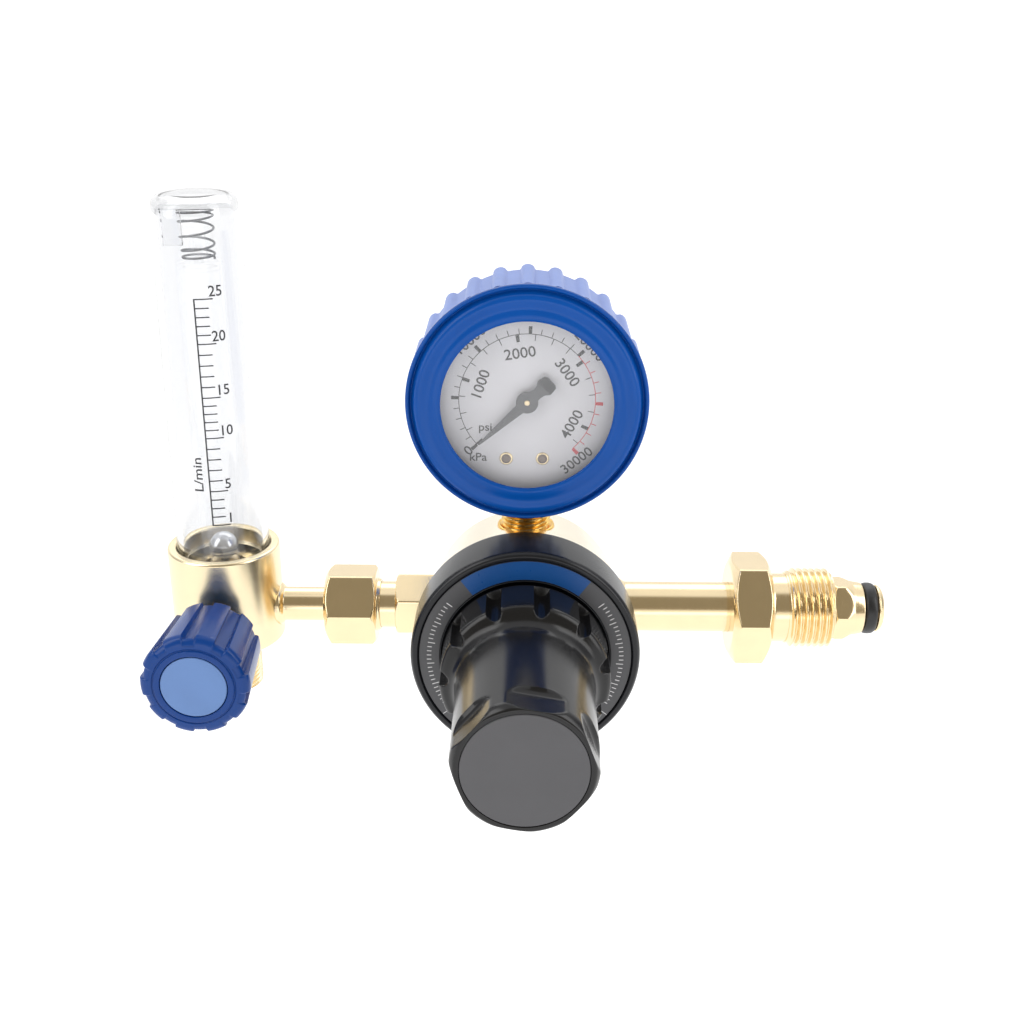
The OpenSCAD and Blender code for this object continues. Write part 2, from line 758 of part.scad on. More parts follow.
module flow_knob() {
    color("#123f86") placed() at_needle() difference() {
        along_y() lathe([
            [0, -flow_knob_front], [12.4, -flow_knob_front], [flow_knob_r - 0.8, -flow_knob_front + 0.8],
            [flow_knob_r, -flow_knob_front + 2.2], [flow_knob_r - 1.6, -20.6], [flow_knob_r - 2.2, -20],
            [0, -20]]);
        along_y() rod(9, -flow_knob_front - e, -flow_knob_front + 1.2);
        along_y() rod(3, -flow_knob_front + 6 - e, -19);
        along_y() rod(8.6, -28, -19);
        for (i = [0:flow_knob_lobes - 1])
            at_angle(92 + i * 360 / flow_knob_lobes) translate([0, -flow_knob_front + 1.6, 0])
                rotate([0, 0, -5]) translate([flow_knob_r + 1.2, 0, 0])
                    along_y() cylinder(r = 3, h = 28, $fn = 32);
    }
}

module flow_knob_disc() {
    color("#4a76b8") placed() at_needle() along_y()
        rod(8.75, -flow_knob_front + 0.1, -flow_knob_front + 1.2, 0.2);
}

regulator_body();
bonnet();
label_ring();
slip_ring();
diaphragm();
diaphragm_plate();
spring_seat();
main_spring();
spring_button();
adjusting_screw();
pressure_knob();
knob_cap_disc();
valve_nozzle();
valve_poppet();
poppet_spring();
inlet_stem();
inlet_filter();
inlet_nut();
bullnose_nipple();
inlet_o_ring();
gauge_socket();
gauge_case();
gauge_boot();
lens_ring();
gauge_lens();
lens_gasket();
dial_plate();
dial_screws();
pointer();
pinion_arbor();
sector_gear();
movement_frame();
bourdon_tube();
bourdon_link();
hair_spring();
outlet_adaptor();
union_nut();
flow_stem();
flowmeter_body();
outlet_fitting();
tube_cover();
cover_o_ring();
metering_tube();
tube_seals();
float_seat();
float_ball();
tube_spring();
spring_guide();
needle_gland();
needle_stem();
needle_o_ring();
flow_knob();
flow_knob_disc();
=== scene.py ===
"""The looks of a cylinder gas regulator with a gauge and a tube flowmeter.

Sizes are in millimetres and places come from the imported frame. A round piece is a stack of
rings about an axis: stations are (along, radius) pairs, and an outline function turns a plain
radius into flutes, flats, ribs or a thread.
"""
import math

import bmesh
import bpy
from mathutils import Matrix, Vector

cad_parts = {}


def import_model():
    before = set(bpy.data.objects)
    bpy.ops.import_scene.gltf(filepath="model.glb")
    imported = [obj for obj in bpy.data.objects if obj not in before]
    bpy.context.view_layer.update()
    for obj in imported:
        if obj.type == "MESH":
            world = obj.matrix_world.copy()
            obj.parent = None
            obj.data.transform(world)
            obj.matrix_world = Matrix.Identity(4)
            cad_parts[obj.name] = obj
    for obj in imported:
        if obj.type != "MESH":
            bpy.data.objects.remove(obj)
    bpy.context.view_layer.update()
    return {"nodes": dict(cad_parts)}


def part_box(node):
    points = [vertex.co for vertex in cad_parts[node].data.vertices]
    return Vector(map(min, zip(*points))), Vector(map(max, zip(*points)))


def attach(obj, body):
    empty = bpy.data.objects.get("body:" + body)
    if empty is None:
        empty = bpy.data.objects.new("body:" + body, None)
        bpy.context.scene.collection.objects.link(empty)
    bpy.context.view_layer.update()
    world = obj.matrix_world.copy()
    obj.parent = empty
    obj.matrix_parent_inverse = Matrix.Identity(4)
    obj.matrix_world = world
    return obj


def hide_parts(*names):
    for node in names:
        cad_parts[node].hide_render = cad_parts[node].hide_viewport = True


MM = 0.001
SMALL = 1e-7
X, Y, Z = 0, 1, 2
LOW, HIGH = 0, 1

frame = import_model()


# ---- places, from the frame ----

def middle(node):
    """Centre of a CAD node's box, in millimetres."""
    low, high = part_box(node)
    return (low + high) / 2 / MM


def reach(node, axis, side):
    """Coordinate of a CAD node's LOW or HIGH side on the X, Y or Z axis, in mm."""
    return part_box(node)[side][axis] / MM


class Axis:
    """A line that round pieces are turned about. Angle 0 points to zero, 90 to quarter."""

    def __init__(self, x, y, z, along, zero, quarter):
        self.origin = Vector((x, y, z))
        self.along = Vector(along)
        self.zero = Vector(zero)
        self.quarter = Vector(quarter)
        self.turn = self.zero.cross(self.quarter).dot(self.along)

    def at(self, along, radius, angle):
        a = math.radians(angle)
        side = self.zero * math.cos(a) + self.quarter * math.sin(a)
        return (self.origin + self.along * along + side * radius) * MM


CENTRE_X = middle("bonnet").x
GAUGE_Z = middle("dial_plate").z
FLOW_X = middle("float_ball").x
NEEDLE_Z = middle("needle_stem").z

AHEAD, UP, RIGHT, FRONT = (0, 1, 0), (0, 0, 1), (1, 0, 0), (0, -1, 0)
BODY = Axis(CENTRE_X, 0, 0, AHEAD, RIGHT, UP)
GAUGE = Axis(CENTRE_X, 0, GAUGE_Z, AHEAD, RIGHT, UP)
NEEDLE = Axis(FLOW_X, 0, NEEDLE_Z, AHEAD, RIGHT, UP)
PIPE = Axis(CENTRE_X, 0, 0, RIGHT, FRONT, UP)
STEM = Axis(CENTRE_X, 0, 0, UP, RIGHT, AHEAD)
FLOW = Axis(FLOW_X, 0, 0, UP, RIGHT, AHEAD)


# ---- shapes ----

def soft_min(a, b, blend):
    """Smaller of two radii, with the edge between them rounded over blend."""
    h = max(blend - abs(a - b), 0) / blend
    return min(a, b) - h * h * blend / 4


def rounded(points, arc=5):
    """Stations through (along, radius[, fillet]) points, each corner with a fillet rounded."""
    out = []
    for i, point in enumerate(points):
        here = Vector(point[:2])
        fillet = point[2] if len(point) > 2 else 0
        if not fillet or i in (0, len(points) - 1):
            out.append(tuple(here))
            continue
        before, after = Vector(points[i - 1][:2]), Vector(points[i + 1][:2])
        to_before, to_after = before - here, after - here
        trim_a = min(fillet, to_before.length * 0.49)
        trim_b = min(fillet, to_after.length * 0.49)
        start = here + to_before.normalized() * trim_a
        end = here + to_after.normalized() * trim_b
        for k in range(arc + 1):
            t = k / arc
            p = start * (1 - t) ** 2 + here * 2 * t * (1 - t) + end * t * t
            out.append(tuple(p))
    return out


def dense(stations, step):
    """The same stations with more put in where they are further apart than step."""
    out = [stations[0]]
    for a, b in zip(stations, stations[1:]):
        gap = math.hypot(b[0] - a[0], b[1] - a[1])
        count = max(1, math.ceil(gap / step))
        for k in range(1, count + 1):
            t = k / count
            out.append((a[0] + (b[0] - a[0]) * t, a[1] + (b[1] - a[1]) * t))
    return out


def add_rings(bm, axis, stations, outline=None, segments=128, closed=False):
    """Rings about an axis, joined by faces. A station of radius 0 is a point."""
    rows = []
    for along, radius in stations:
        if radius < SMALL:
            rows.append([bm.verts.new(axis.at(along, 0, 0))])
            continue
        row = []
        for i in range(segments):
            angle = 360 * i / segments
            r = outline(angle, along, radius) if outline else radius
            row.append(bm.verts.new(axis.at(along, r, angle)))
        rows.append(row)
    pairs = list(zip(rows, rows[1:]))
    if closed:
        pairs.append((rows[-1], rows[0]))
    for a, b in pairs:
        for i in range(segments):
            j = (i + 1) % segments
            quad = [a[i % len(a)], a[j % len(a)], b[j % len(b)], b[i % len(b)]]
            corners = [v for k, v in enumerate(quad) if v not in quad[:k]]
            if len(corners) > 2:
                bm.faces.new(corners)


def add_bar(bm, corners, start, end):
    """Prism between two copies of a corner loop; start and end turn a corner into a place."""
    low = [bm.verts.new(start(c)) for c in corners]
    high = [bm.verts.new(end(c)) for c in corners]
    bm.faces.new(low)
    bm.faces.new(list(reversed(high)))
    for i in range(len(corners)):
        j = (i + 1) % len(corners)
        bm.faces.new([low[i], high[i], high[j], low[j]])


def finish_piece(name, bm, material, body, nodes=(), sharp=40):
    """Turns a bmesh into a piece that rides on a body and stands for CAD nodes."""
    bmesh.ops.remove_doubles(bm, verts=bm.verts, dist=SMALL)
    bmesh.ops.dissolve_degenerate(bm, edges=bm.edges, dist=SMALL)
    bmesh.ops.recalc_face_normals(bm, faces=bm.faces)
    mesh = bpy.data.meshes.new(name)
    bm.to_mesh(mesh)
    bm.free()
    mesh.materials.append(material)
    mesh.polygons.foreach_set("use_smooth", [True] * len(mesh.polygons))
    mesh.set_sharp_from_angle(angle=math.radians(sharp))
    piece = bpy.data.objects.new(name, mesh)
    bpy.context.scene.collection.objects.link(piece)
    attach(piece, body)
    if nodes:
        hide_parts(*nodes)
    return piece


def turned(name, axis, points, material, body, nodes=(), outline=None, step=None,
           segments=128, closed=False, sharp=40):
    """A piece turned about an axis from rounded stations."""
    stations = rounded(points)
    if step:
        stations = dense(stations, step)
    bm = bmesh.new()
    add_rings(bm, axis, stations, outline, segments, closed)
    return finish_piece(name, bm, material, body, nodes, sharp)


def flats(across, turn, count=6, blend=0.5):
    """Outline of a bar with flats: across is the flat to flat size, turn a flat's direction."""
    def outline(angle, along, radius):
        off = (angle - turn + 180 / count) % (360 / count) - 180 / count
        flat = across / 2 / math.cos(math.radians(off))
        return soft_min(radius, flat, blend)
    return outline


def thread(axis, pitch, depth, start, end):
    """Outline of a right-hand thread cut into a bar between start and end."""
    def outline(angle, along, radius):
        phase = (along / pitch - axis.turn * angle / 360) % 1
        ridge = min(max((abs(phase - 0.5) * 2 - 0.14) / 0.66, 0), 1)
        fade = min(max((along - start) / pitch, 0), max((end - along) / pitch, 0), 1)
        return radius - depth * (1 - ridge * fade)
    return outline


def add_coil(bm, axis, path, wire, steps, sides=10):
    """Round wire along a path of (along, radius, angle) points given by a function of 0..1."""
    rows = []
    for i in range(steps + 1):
        here = axis.at(*path(i / steps))
        before = axis.at(*path(max(i - 1, 0) / steps))
        after = axis.at(*path(min(i + 1, steps) / steps))
        run = (after - before).normalized()
        side = run.cross(axis.along).normalized()
        top = side.cross(run)
        rows.append([
            bm.verts.new(here + (side * math.cos(2 * math.pi * k / sides)
                                 + top * math.sin(2 * math.pi * k / sides)) * wire / 2 * MM)
            for k in range(sides)])
    for a, b in zip(rows, rows[1:]):
        for k in range(sides):
            m = (k + 1) % sides
            bm.faces.new([a[k], a[m], b[m], b[k]])
    bm.faces.new(rows[0])
    bm.faces.new(list(reversed(rows[-1])))


# ---- materials ----

def new_material(name, color, metallic=0.0, roughness=0.4):
    mat = bpy.data.materials.new(name)
    mat.use_nodes = True
    shader = mat.node_tree.nodes["Principled BSDF"]
    shader.inputs["Base Color"].default_value = (*color, 1)
    shader.inputs["Metallic"].default_value = metallic
    shader.inputs["Roughness"].default_value = roughness
    return mat, mat.node_tree, shader


def node(tree, kind, **settings):
    new = tree.nodes.new(kind)
    for key, value in settings.items():
        if key in new.inputs:
            new.inputs[key].default_value = value
        else:
            setattr(new, key, value)
    return new


def add_noise(tree, scale, detail=3.0):
    """Noise over the piece's own coordinates, in cycles per metre."""
    place = node(tree, "ShaderNodeTexCoord")
    noise = node(tree, "ShaderNodeTexNoise", Scale=scale, Detail=detail)
    tree.links.new(place.outputs["Object"], noise.inputs["Vector"])
    return noise


def vary_color(tree, shader, factor, low, high):
    ramp = node(tree, "ShaderNodeValToRGB")
    ramp.color_ramp.elements[0].position = 0.3
    ramp.color_ramp.elements[1].position = 0.7
    ramp.color_ramp.elements[0].color = (*low, 1)
    ramp.color_ramp.elements[1].color = (*high, 1)
    tree.links.new(factor, ramp.inputs["Fac"])
    tree.links.new(ramp.outputs["Color"], shader.inputs["Base Color"])


def vary_roughness(tree, shader, factor, low, high):
    spread = node(tree, "ShaderNodeMapRange")
    spread.inputs["To Min"].default_value = low
    spread.inputs["To Max"].default_value = high
    tree.links.new(factor, spread.inputs["Value"])
    tree.links.new(spread.outputs["Result"], shader.inputs["Roughness"])


def add_bump(tree, shader, height, strength, distance):
    bump = node(tree, "ShaderNodeBump", Strength=strength, Distance=distance)
    tree.links.new(height, bump.inputs["Height"])
    tree.links.new(bump.outputs["Normal"], shader.inputs["Normal"])


def turned_metal(name, color, axis, roughness, groove=0.05, grooves=1500.0, spread=0.25):
    """Metal with fine tool rings about an axis, and a faint change of tint and gloss."""
    mat, tree, shader = new_material(name, color, 1.0, roughness)
    patches = add_noise(tree, 140.0, 4.0)
    low = tuple(c * 0.97 for c in color)
    high = tuple(min(1.0, c * 1.02) for c in color)
    vary_color(tree, shader, patches.outputs["Fac"], low, high)
    place = node(tree, "ShaderNodeTexCoord")
    shift = node(tree, "ShaderNodeVectorMath", operation="SUBTRACT")
    shift.inputs[1].default_value = axis.origin * MM
    along = node(tree, "ShaderNodeVectorMath", operation="DOT_PRODUCT")
    along.inputs[1].default_value = axis.along
    across = node(tree, "ShaderNodeVectorMath", operation="MULTIPLY")
    across.inputs[1].default_value = Vector((1, 1, 1)) - axis.along
    radius = node(tree, "ShaderNodeVectorMath", operation="LENGTH")
    total = node(tree, "ShaderNodeMath", operation="ADD")
    rings = node(tree, "ShaderNodeTexNoise", noise_dimensions="1D", Scale=grooves, Detail=2.0)
    tree.links.new(place.outputs["Object"], shift.inputs[0])
    tree.links.new(shift.outputs[0], along.inputs[0])
    tree.links.new(shift.outputs[0], across.inputs[0])
    tree.links.new(across.outputs[0], radius.inputs[0])
    tree.links.new(along.outputs["Value"], total.inputs[0])
    tree.links.new(radius.outputs["Value"], total.inputs[1])
    tree.links.new(total.outputs[0], rings.inputs["W"])
    smooth, rough = roughness * (1 - spread), roughness * (1 + spread)
    vary_roughness(tree, shader, rings.outputs["Fac"], smooth, rough)
    add_bump(tree, shader, rings.outputs["Fac"], groove, 0.0002)
    return mat


def moulded(name, color, roughness, grain=900.0, relief=0.06, coat=0.0, spread=0.06, shine=0.5):
    """Plastic, rubber or paint with a fine moulded grain and slightly uneven gloss."""
    mat, tree, shader = new_material(name, color, 0.0, roughness)
    shader.inputs["Specular IOR Level"].default_value = shine
    patches = add_noise(tree, 90.0)
    low = tuple(c * 0.96 for c in color)
    high = tuple(min(1.0, c * 1.04) for c in color)
    vary_color(tree, shader, patches.outputs["Fac"], low, high)
    fine = add_noise(tree, grain, 2.0)
    vary_roughness(tree, shader, fine.outputs["Fac"], roughness - spread, roughness + spread)
    add_bump(tree, shader, fine.outputs["Fac"], relief, 0.0002)
    shader.inputs["Coat Weight"].default_value = coat
    shader.inputs["Coat Roughness"].default_value = 0.06
    return mat


def clear(name, tint, roughness, ior=1.49):
    """Clear plastic that lets lamps through, with faint flow marks from the mould."""
    mat, tree, shader = new_material(name, tint, 0.0, roughness)
    shader.inputs["Transmission Weight"].default_value = 1.0
    shader.inputs["IOR"].default_value = ior
    marks = add_noise(tree, 60.0, 1.0)
    add_bump(tree, shader, marks.outputs["Fac"], 0.04, 0.0003)
    light = node(tree, "ShaderNodeLightPath")
    through = node(tree, "ShaderNodeBsdfTransparent")
    through.inputs["Color"].default_value = (0.97, 0.975, 0.98, 1)
    mix = node(tree, "ShaderNodeMixShader")
    out = tree.nodes["Material Output"]
    tree.links.new(light.outputs["Is Shadow Ray"], mix.inputs[0])
    tree.links.new(shader.outputs[0], mix.inputs[1])
    tree.links.new(through.outputs[0], mix.inputs[2])
    tree.links.new(mix.outputs[0], out.inputs["Surface"])
    return mat


def thin_clear(name, tint, roughness, alpha):
    """A thin clear sheet: mostly let through, with a faint veil and a reflection."""
    mat, tree, shader = new_material(name, tint, 0.0, roughness)
    shader.inputs["Alpha"].default_value = alpha
    marks = add_noise(tree, 60.0, 1.0)
    add_bump(tree, shader, marks.outputs["Fac"], 0.02, 0.0002)
    return mat


BRASS = (0.89, 0.725, 0.46)
BRASS_PALE = (0.90, 0.77, 0.52)
BRASS_BODY = (0.92, 0.85, 0.70)
BRASS_DEEP = (0.78, 0.50, 0.15)
STEEL = (0.74, 0.75, 0.76)

M = {
    "body": turned_metal("turned_brass_body", BRASS_BODY, BODY, 0.24),
    "pipe": turned_metal("turned_brass_pipe", BRASS, PIPE, 0.18),
    "flow": turned_metal("turned_brass_flow", BRASS_PALE, FLOW, 0.26, 0.004, 900.0, 0.08),
    "stem": turned_metal("turned_brass_stem", BRASS_DEEP, STEM, 0.22),
    "needle": turned_metal("turned_brass_needle", BRASS, NEEDLE, 0.22),
    "works": turned_metal("brass_movement", BRASS, GAUGE, 0.35, 0.1),
    "screw": moulded("screw_dark_bronze", (0.16, 0.11, 0.08), 0.35, 2000.0, 0.05),
    "bronze": moulded("sintered_bronze", (0.50, 0.33, 0.18), 0.6, 4000.0, 0.6),
    "steel": turned_metal("turned_steel", STEEL, GAUGE, 0.22),
    "steel_body": turned_metal("turned_steel_body", STEEL, BODY, 0.28),
    "spring": turned_metal("spring_wire", (0.20, 0.205, 0.215), FLOW, 0.32, 0.02),
    "ball": turned_metal("ball_steel", (0.62, 0.63, 0.65), FLOW, 0.12, 0.0),
    "bonnet": moulded("bonnet_black_enamel", (0.009, 0.010, 0.013), 0.24, 700.0, 0.01, 0.0, 0.03, 0.35),
    "knob": moulded("knob_black_plastic", (0.009, 0.009, 0.010), 0.20, 700.0, 0.01, 0.0, 0.03, 0.4),
    "cap": moulded("cap_satin_grey", (0.080, 0.080, 0.088), 0.42, 1500.0, 0.05),
    "label": moulded("label_satin_grey", (0.072, 0.073, 0.080), 0.40, 1200.0, 0.05),
    "label_blue": moulded("label_blue_print", (0.003, 0.070, 0.27), 0.30, 1200.0, 0.04),
    "white_print": moulded("white_print", (0.78, 0.78, 0.80), 0.5, 2500.0, 0.03),
    "rubber": moulded("black_rubber", (0.012, 0.012, 0.013), 0.38, 1500.0, 0.08),
    "boot": moulded("boot_blue_rubber", (0.002, 0.072, 0.35), 0.20, 600.0, 0.01, 0.0, 0.03, 0.2),
    # the same blue rubber as the boot, painted paler: painted light on the rear ribs
    "boot_rear": moulded("boot_rubber_painted_light", (0.16, 0.25, 0.60), 0.35, 600.0, 0.03, 0.0, 0.04, 0.3),
    "flow_knob": moulded("knob_blue_plastic", (0.003, 0.046, 0.235), 0.22, 900.0, 0.01, 0.0, 0.03, 0.3),
    "disc": moulded("disc_light_blue", (0.120, 0.235, 0.52), 0.38, 1500.0, 0.05),
    "seat": moulded("seat_plastic", (0.80, 0.78, 0.70), 0.4),
    "dial": moulded("dial_white_enamel", (0.70, 0.70, 0.75), 0.35, 1500.0, 0.03),
    "ink": moulded("dial_black_ink", (0.015, 0.015, 0.017), 0.5, 2500.0, 0.03),
    "red_ink": moulded("dial_red_ink", (0.62, 0.02, 0.04), 0.5, 2500.0, 0.03),
    "pointer": moulded("pointer_grey_paint", (0.075, 0.078, 0.085), 0.40, 1500.0, 0.05),
    "tube_ink": moulded("tube_grey_ink", (0.03, 0.03, 0.034), 0.5, 2500.0, 0.03),
    "clear": clear("clear_polycarbonate", (0.885, 0.890, 0.900), 0.02, 1.45),
    "inner_clear": thin_clear("clear_inner_tube", (0.82, 0.83, 0.85), 0.04, 0.09),
    "lens": thin_clear("clear_lens", (0.80, 0.82, 0.86), 0.03, 0.10),
}

CAD_MATERIALS = {
    "works": ("movement_frame", "sector_gear", "pinion_arbor", "bourdon_link", "diaphragm_plate",
              "valve_nozzle", "float_seat"),
    "bronze": ("bourdon_tube", "inlet_filter"),
    "steel": ("gauge_case",),
    "steel_body": ("slip_ring", "spring_seat", "spring_button", "adjusting_screw", "main_spring",
                   "poppet_spring"),
    "spring": ("hair_spring",),
    "needle": ("needle_stem",),
    "seat": ("valve_poppet",),
    "rubber": ("diaphragm", "lens_gasket", "cover_o_ring", "needle_o_ring"),
    "inner_clear": ("tube_seals",),
}
for key, names in CAD_MATERIALS.items():
    for name in names:
        frame["nodes"][name].data.materials.clear()
        frame["nodes"][name].data.materials.append(M[key])


# ---- regulator body and bonnet ----

def regulator_body():
    rear = reach("regulator_body", Y, HIGH)
    radius = 26.5
    shoulder = reach("bonnet", Y, HIGH)
    turned("body_barrel", BODY, [
        (shoulder - 0.5, 0), (shoulder - 0.5, radius - 1), (shoulder + 0.6, radius - 0.5, 0.3),
        (shoulder + 0.9, radius, 0.3), (rear - 1.3, radius, 0.4), (rear, radius - 1.3, 0.4),
        (rear, radius - 6, 0.3), (rear - 0.25, radius - 6.3, 0.2), (rear - 0.25, 0)],
        M["body"], "regulator", ["regulator_body"], segments=192)
    # spot face and collar under the gauge stem
    turned("gauge_port", STEM, [
        (24.6, 0), (24.6, 8.2), (25.9, 8.0, 0.3), (26.1, 7.5, 0.2), (25.8, 7.1, 0.2), (25.8, 0)],
        M["stem"], "regulator")


def bonnet():
    front, rear = reach("bonnet", Y, LOW), reach("bonnet", Y, HIGH)
    ring_front = rear - 14.9
    floor = ring_front + 4.2
    turned("bonnet_ring", BODY, [
        (floor, 13.5), (floor, 22.6, 0.4), (ring_front + 0.1, 22.6, 0.2),
        (ring_front + 0.1, 22.9, 0.1), (ring_front + 0.8, 22.95, 0.1),
        (ring_front + 0.8, 28.6, 0.2), (ring_front + 0.05, 28.9, 0.25),
        (ring_front, 29.2, 0.25), (ring_front, 30.1, 0.5), (ring_front + 1.0, 30.9, 0.6),
        (rear - 0.7, 30.9, 0.5), (rear, 30.3, 0.4), (rear, 25.0), (rear - 3, 25.0),
        (rear - 3, 13.5)],
        M["bonnet"], "regulator", ["bonnet"], segments=192, closed=True)
    turned("bonnet_tower", BODY, [
        (floor + 0.5, 5.2), (floor + 0.5, 14), (front + 1, 14, 0.5), (front, 13, 0.5),
        (front, 5.2)],
        M["bonnet"], "regulator", closed=True)
    return ring_front


def add_arc_band(bm, axis, along, depth, r_in, r_out, start, end, steps=48):
    """A flat strip of a ring between two angles, a little thick."""
    angles = [start + (end - start) * i / steps for i in range(steps + 1)]
    corners = [(r_in, a) for a in angles] + [(r_out, a) for a in reversed(angles)]
    add_bar(bm, corners, lambda c: axis.at(along, *c), lambda c: axis.at(along + depth, *c))


def label(ring_front):
    face = ring_front + 0.42
    print_at, print_depth = face - 0.03, 0.05
    turned("label_face", BODY, [
        (face + 0.36, 23.0), (face, 23.05, 0.1), (face, 28.45, 0.1), (face + 0.36, 28.5)],
        M["label"], "regulator", ["label_ring"], segments=192, closed=True)
    bm = bmesh.new()
    add_arc_band(bm, BODY, print_at, print_depth, 23.15, 28.4, 53, 127)
    finish_piece("label_blue_arc", bm, M["label_blue"], "regulator")
    bm = bmesh.new()
    for angle in (-38, 218):
        add_arc_band(bm, BODY, print_at, print_depth, 23.2, 28.3, angle, angle + 0.35, 2)
    for start, count in ((-32, 26), (142, 26)):
        for i in range(count):
            angle = start + i * 2.8
            inner = 25.2 if i % 5 else 24.5
            add_arc_band(bm, BODY, print_at, print_depth, inner, 26.4, angle, angle + 0.45, 1)
    finish_piece("label_ticks", bm, M["white_print"], "regulator")


# ---- pressure knob ----

FLUTES, FLUTE_TURN = 11, 79
FLUTE_R, FLUTE_DEPTH = 22.6, 2.75
FLUTE_HALF_WIDTH, FLUTE_WIDTH_R = 2.1, 22.4
SKIRT_FROM_FRONT, SKIRT_WALL = 40.3, 12.2
SKIRT_R, BARREL_R, CAP_SEAT_R = 22.3, 17.75, 15.3
HEAD_TURN, HEAD_LENGTH = 20, 8.4
HEAD_R, HEAD_CUT, HEAD_EASE = 17.9, 1.6, 2.4


def knob_outline(front):
    """Flutes round the skirt, and a six-sided head whose flats ease out into the barrel."""
    skirt_front = front + SKIRT_FROM_FRONT
    wall = skirt_front + SKIRT_WALL

    def outline(angle, along, radius):
        r = radius
        if along > skirt_front - 1.5 and along < wall and radius > 18.2:
            off = (angle - FLUTE_TURN + 180 / FLUTES) % (360 / FLUTES) - 180 / FLUTES
            across = FLUTE_WIDTH_R * math.sin(math.radians(off)) / FLUTE_HALF_WIDTH
            if abs(across) < 1:
                scoop = math.sqrt(max(0, 1 - across ** 2)) ** 0.8
                r = soft_min(r, FLUTE_R - FLUTE_DEPTH * scoop, 0.35)
        if along < front + HEAD_LENGTH + 0.2:
            off = (angle - HEAD_TURN + 30) % 60 - 30
            inset = min(max((front + HEAD_LENGTH - along) / HEAD_EASE, 0), 1)
            ease = math.sqrt(max(0, 1 - (1 - inset) ** 2))
            flat = (HEAD_R - HEAD_CUT * ease) / math.cos(math.radians(off))
            r = soft_min(r, flat, 0.3)
        return r
    return outline


def pressure_knob():
    front = reach("pressure_knob", Y, LOW)
    rear = reach("pressure_knob", Y, HIGH)
    skirt = front + SKIRT_FROM_FRONT
    turned("pressure_knob_shell", BODY, [
        (front + 1.6, CAP_SEAT_R), (front + 0.12, CAP_SEAT_R + 0.04, 0.1),
        (front, CAP_SEAT_R + 0.3, 0.2), (front, 16.6, 0.6), (front + 1.6, BARREL_R, 0.9),
        (skirt - 3.4, BARREL_R, 2.2), (skirt - 0.9, 19.4, 1.2), (skirt, 21.4, 0.5),
        (skirt + 0.9, SKIRT_R, 0.6), (rear - 1.1, SKIRT_R), (rear - 1.09, SKIRT_R),
        (rear - 0.2, SKIRT_R, 0.2), (rear, 22.0, 0.2),
        (rear, 19.6, 0.2), (skirt + 5, 19.6), (skirt + 5, 14.7), (front + 11, 14.7),
        (front + 11, 5.1), (front + 1.8, 5.1), (front + 1.8, 15.4)],
        M["knob"], "knob", ["pressure_knob"], outline=knob_outline(front),
        step=0.55, segments=528, closed=True, sharp=50)
    turned("knob_cap_face", BODY, [
        (front + 1.7, 0), (front + 1.7, 15.1), (front + 0.25, 15.24, 0.12),
        (front, 15.05, 0.2), (front, 14.4, 0.3), (front + 0.02, 0)],
        M["cap"], "knob", ["knob_cap_disc"])


# ---- inlet ----

def inlet():
    start = reach("inlet_nut", X, LOW) - CENTRE_X
    end = reach("inlet_nut", X, HIGH) - CENTRE_X
    stem_start = 25.4
    turned("inlet_stem_pipe", PIPE, [
        (stem_start - 1, 0), (stem_start - 1, 8.5), (stem_start + 1.3, 8.5, 0.5),
        (stem_start + 2.6, 7.7, 0.6), (stem_start + 3.4, 7.2, 0.5), (end + 0.3, 7.2), (end + 0.3, 0)],
        M["pipe"], "regulator", ["inlet_stem"])
    hex_end, thread_start = start + 11.4, end - 12.8
    turned("inlet_nut_hex", PIPE, [
        (start, 7.26), (start, 12.9, 0.4), (start + 1.9, 16.5, 0.3), (hex_end - 1.9, 16.5, 0.3),
        (hex_end, 12.9, 0.4), (hex_end, 10.4, 0.3), (hex_end + 0.7, 9.9, 0.5),
        (thread_start - 0.2, 9.9), (thread_start - 0.2, 7.26)],
        M["pipe"], "inlet_nut", ["inlet_nut"], outline=flats(28.5, 35),
        step=0.4, segments=432, closed=True)
    turned("inlet_nut_thread", PIPE, [
        (thread_start - 0.3, 7.26), (thread_start - 0.3, 11.45), (end - 1.2, 11.45),
        (end, 10.9), (end, 7.26)],
        M["pipe"], "inlet_nut",
        outline=thread_or_bore(thread(PIPE, 1.814, 1.16, thread_start - 0.3, end + 0.9), 8),
        step=0.11, segments=144, closed=True)
    nose = reach("bullnose_nipple", X, HIGH) - CENTRE_X
    base = nose - 14.5
    turned("nipple", PIPE, [
        (base, 0), (base, 8.6, 0.2), (base + 0.8, 9.3, 0.3), (base + 3.0, 9.3, 0.2),
        (base + 5.4, 7.95, 0.4), (base + 8.5, 7.4, 0.3), (base + 8.7, 6.6, 0.2),
        (base + 8.7, 5.6), (nose - 1.9, 5.6), (nose - 1.9, 6.6, 0.2), (nose - 1.5, 6.9, 0.3),
        (nose - 0.4, 6.2, 0.5), (nose, 5.0, 0.4), (nose, 2.1, 0.3), (nose - 0.6, 1.8, 0.2),
        (nose - 4, 1.8), (nose - 4, 0)],
        M["pipe"], "regulator", ["bullnose_nipple"],
        outline=nipple_outline(base), step=0.35, segments=288)
    turned("nipple_o_ring", PIPE, [
        (nose - 5.7, 5.7), (nose - 5.75, 6.6, 0.7), (nose - 5.2, 7.3, 0.7),
        (nose - 4.0, 7.45, 0.9), (nose - 2.7, 7.3, 0.7), (nose - 2.05, 6.6, 0.7),
        (nose - 2.1, 5.7)],
        M["rubber"], "regulator", ["inlet_o_ring"], closed=True)


def thread_or_bore(cut, bore):
    """The thread outline on the outside only, so that the bore stays round."""
    def outline(angle, along, radius):
        return cut(angle, along, radius) if radius > bore else radius
    return outline


def nipple_outline(base):
    hexagon = flats(16, 35)

    def outline(angle, along, radius):
        return hexagon(angle, along, radius) if along < base + 8 else radius
    return outline


# ---- outlet side ----

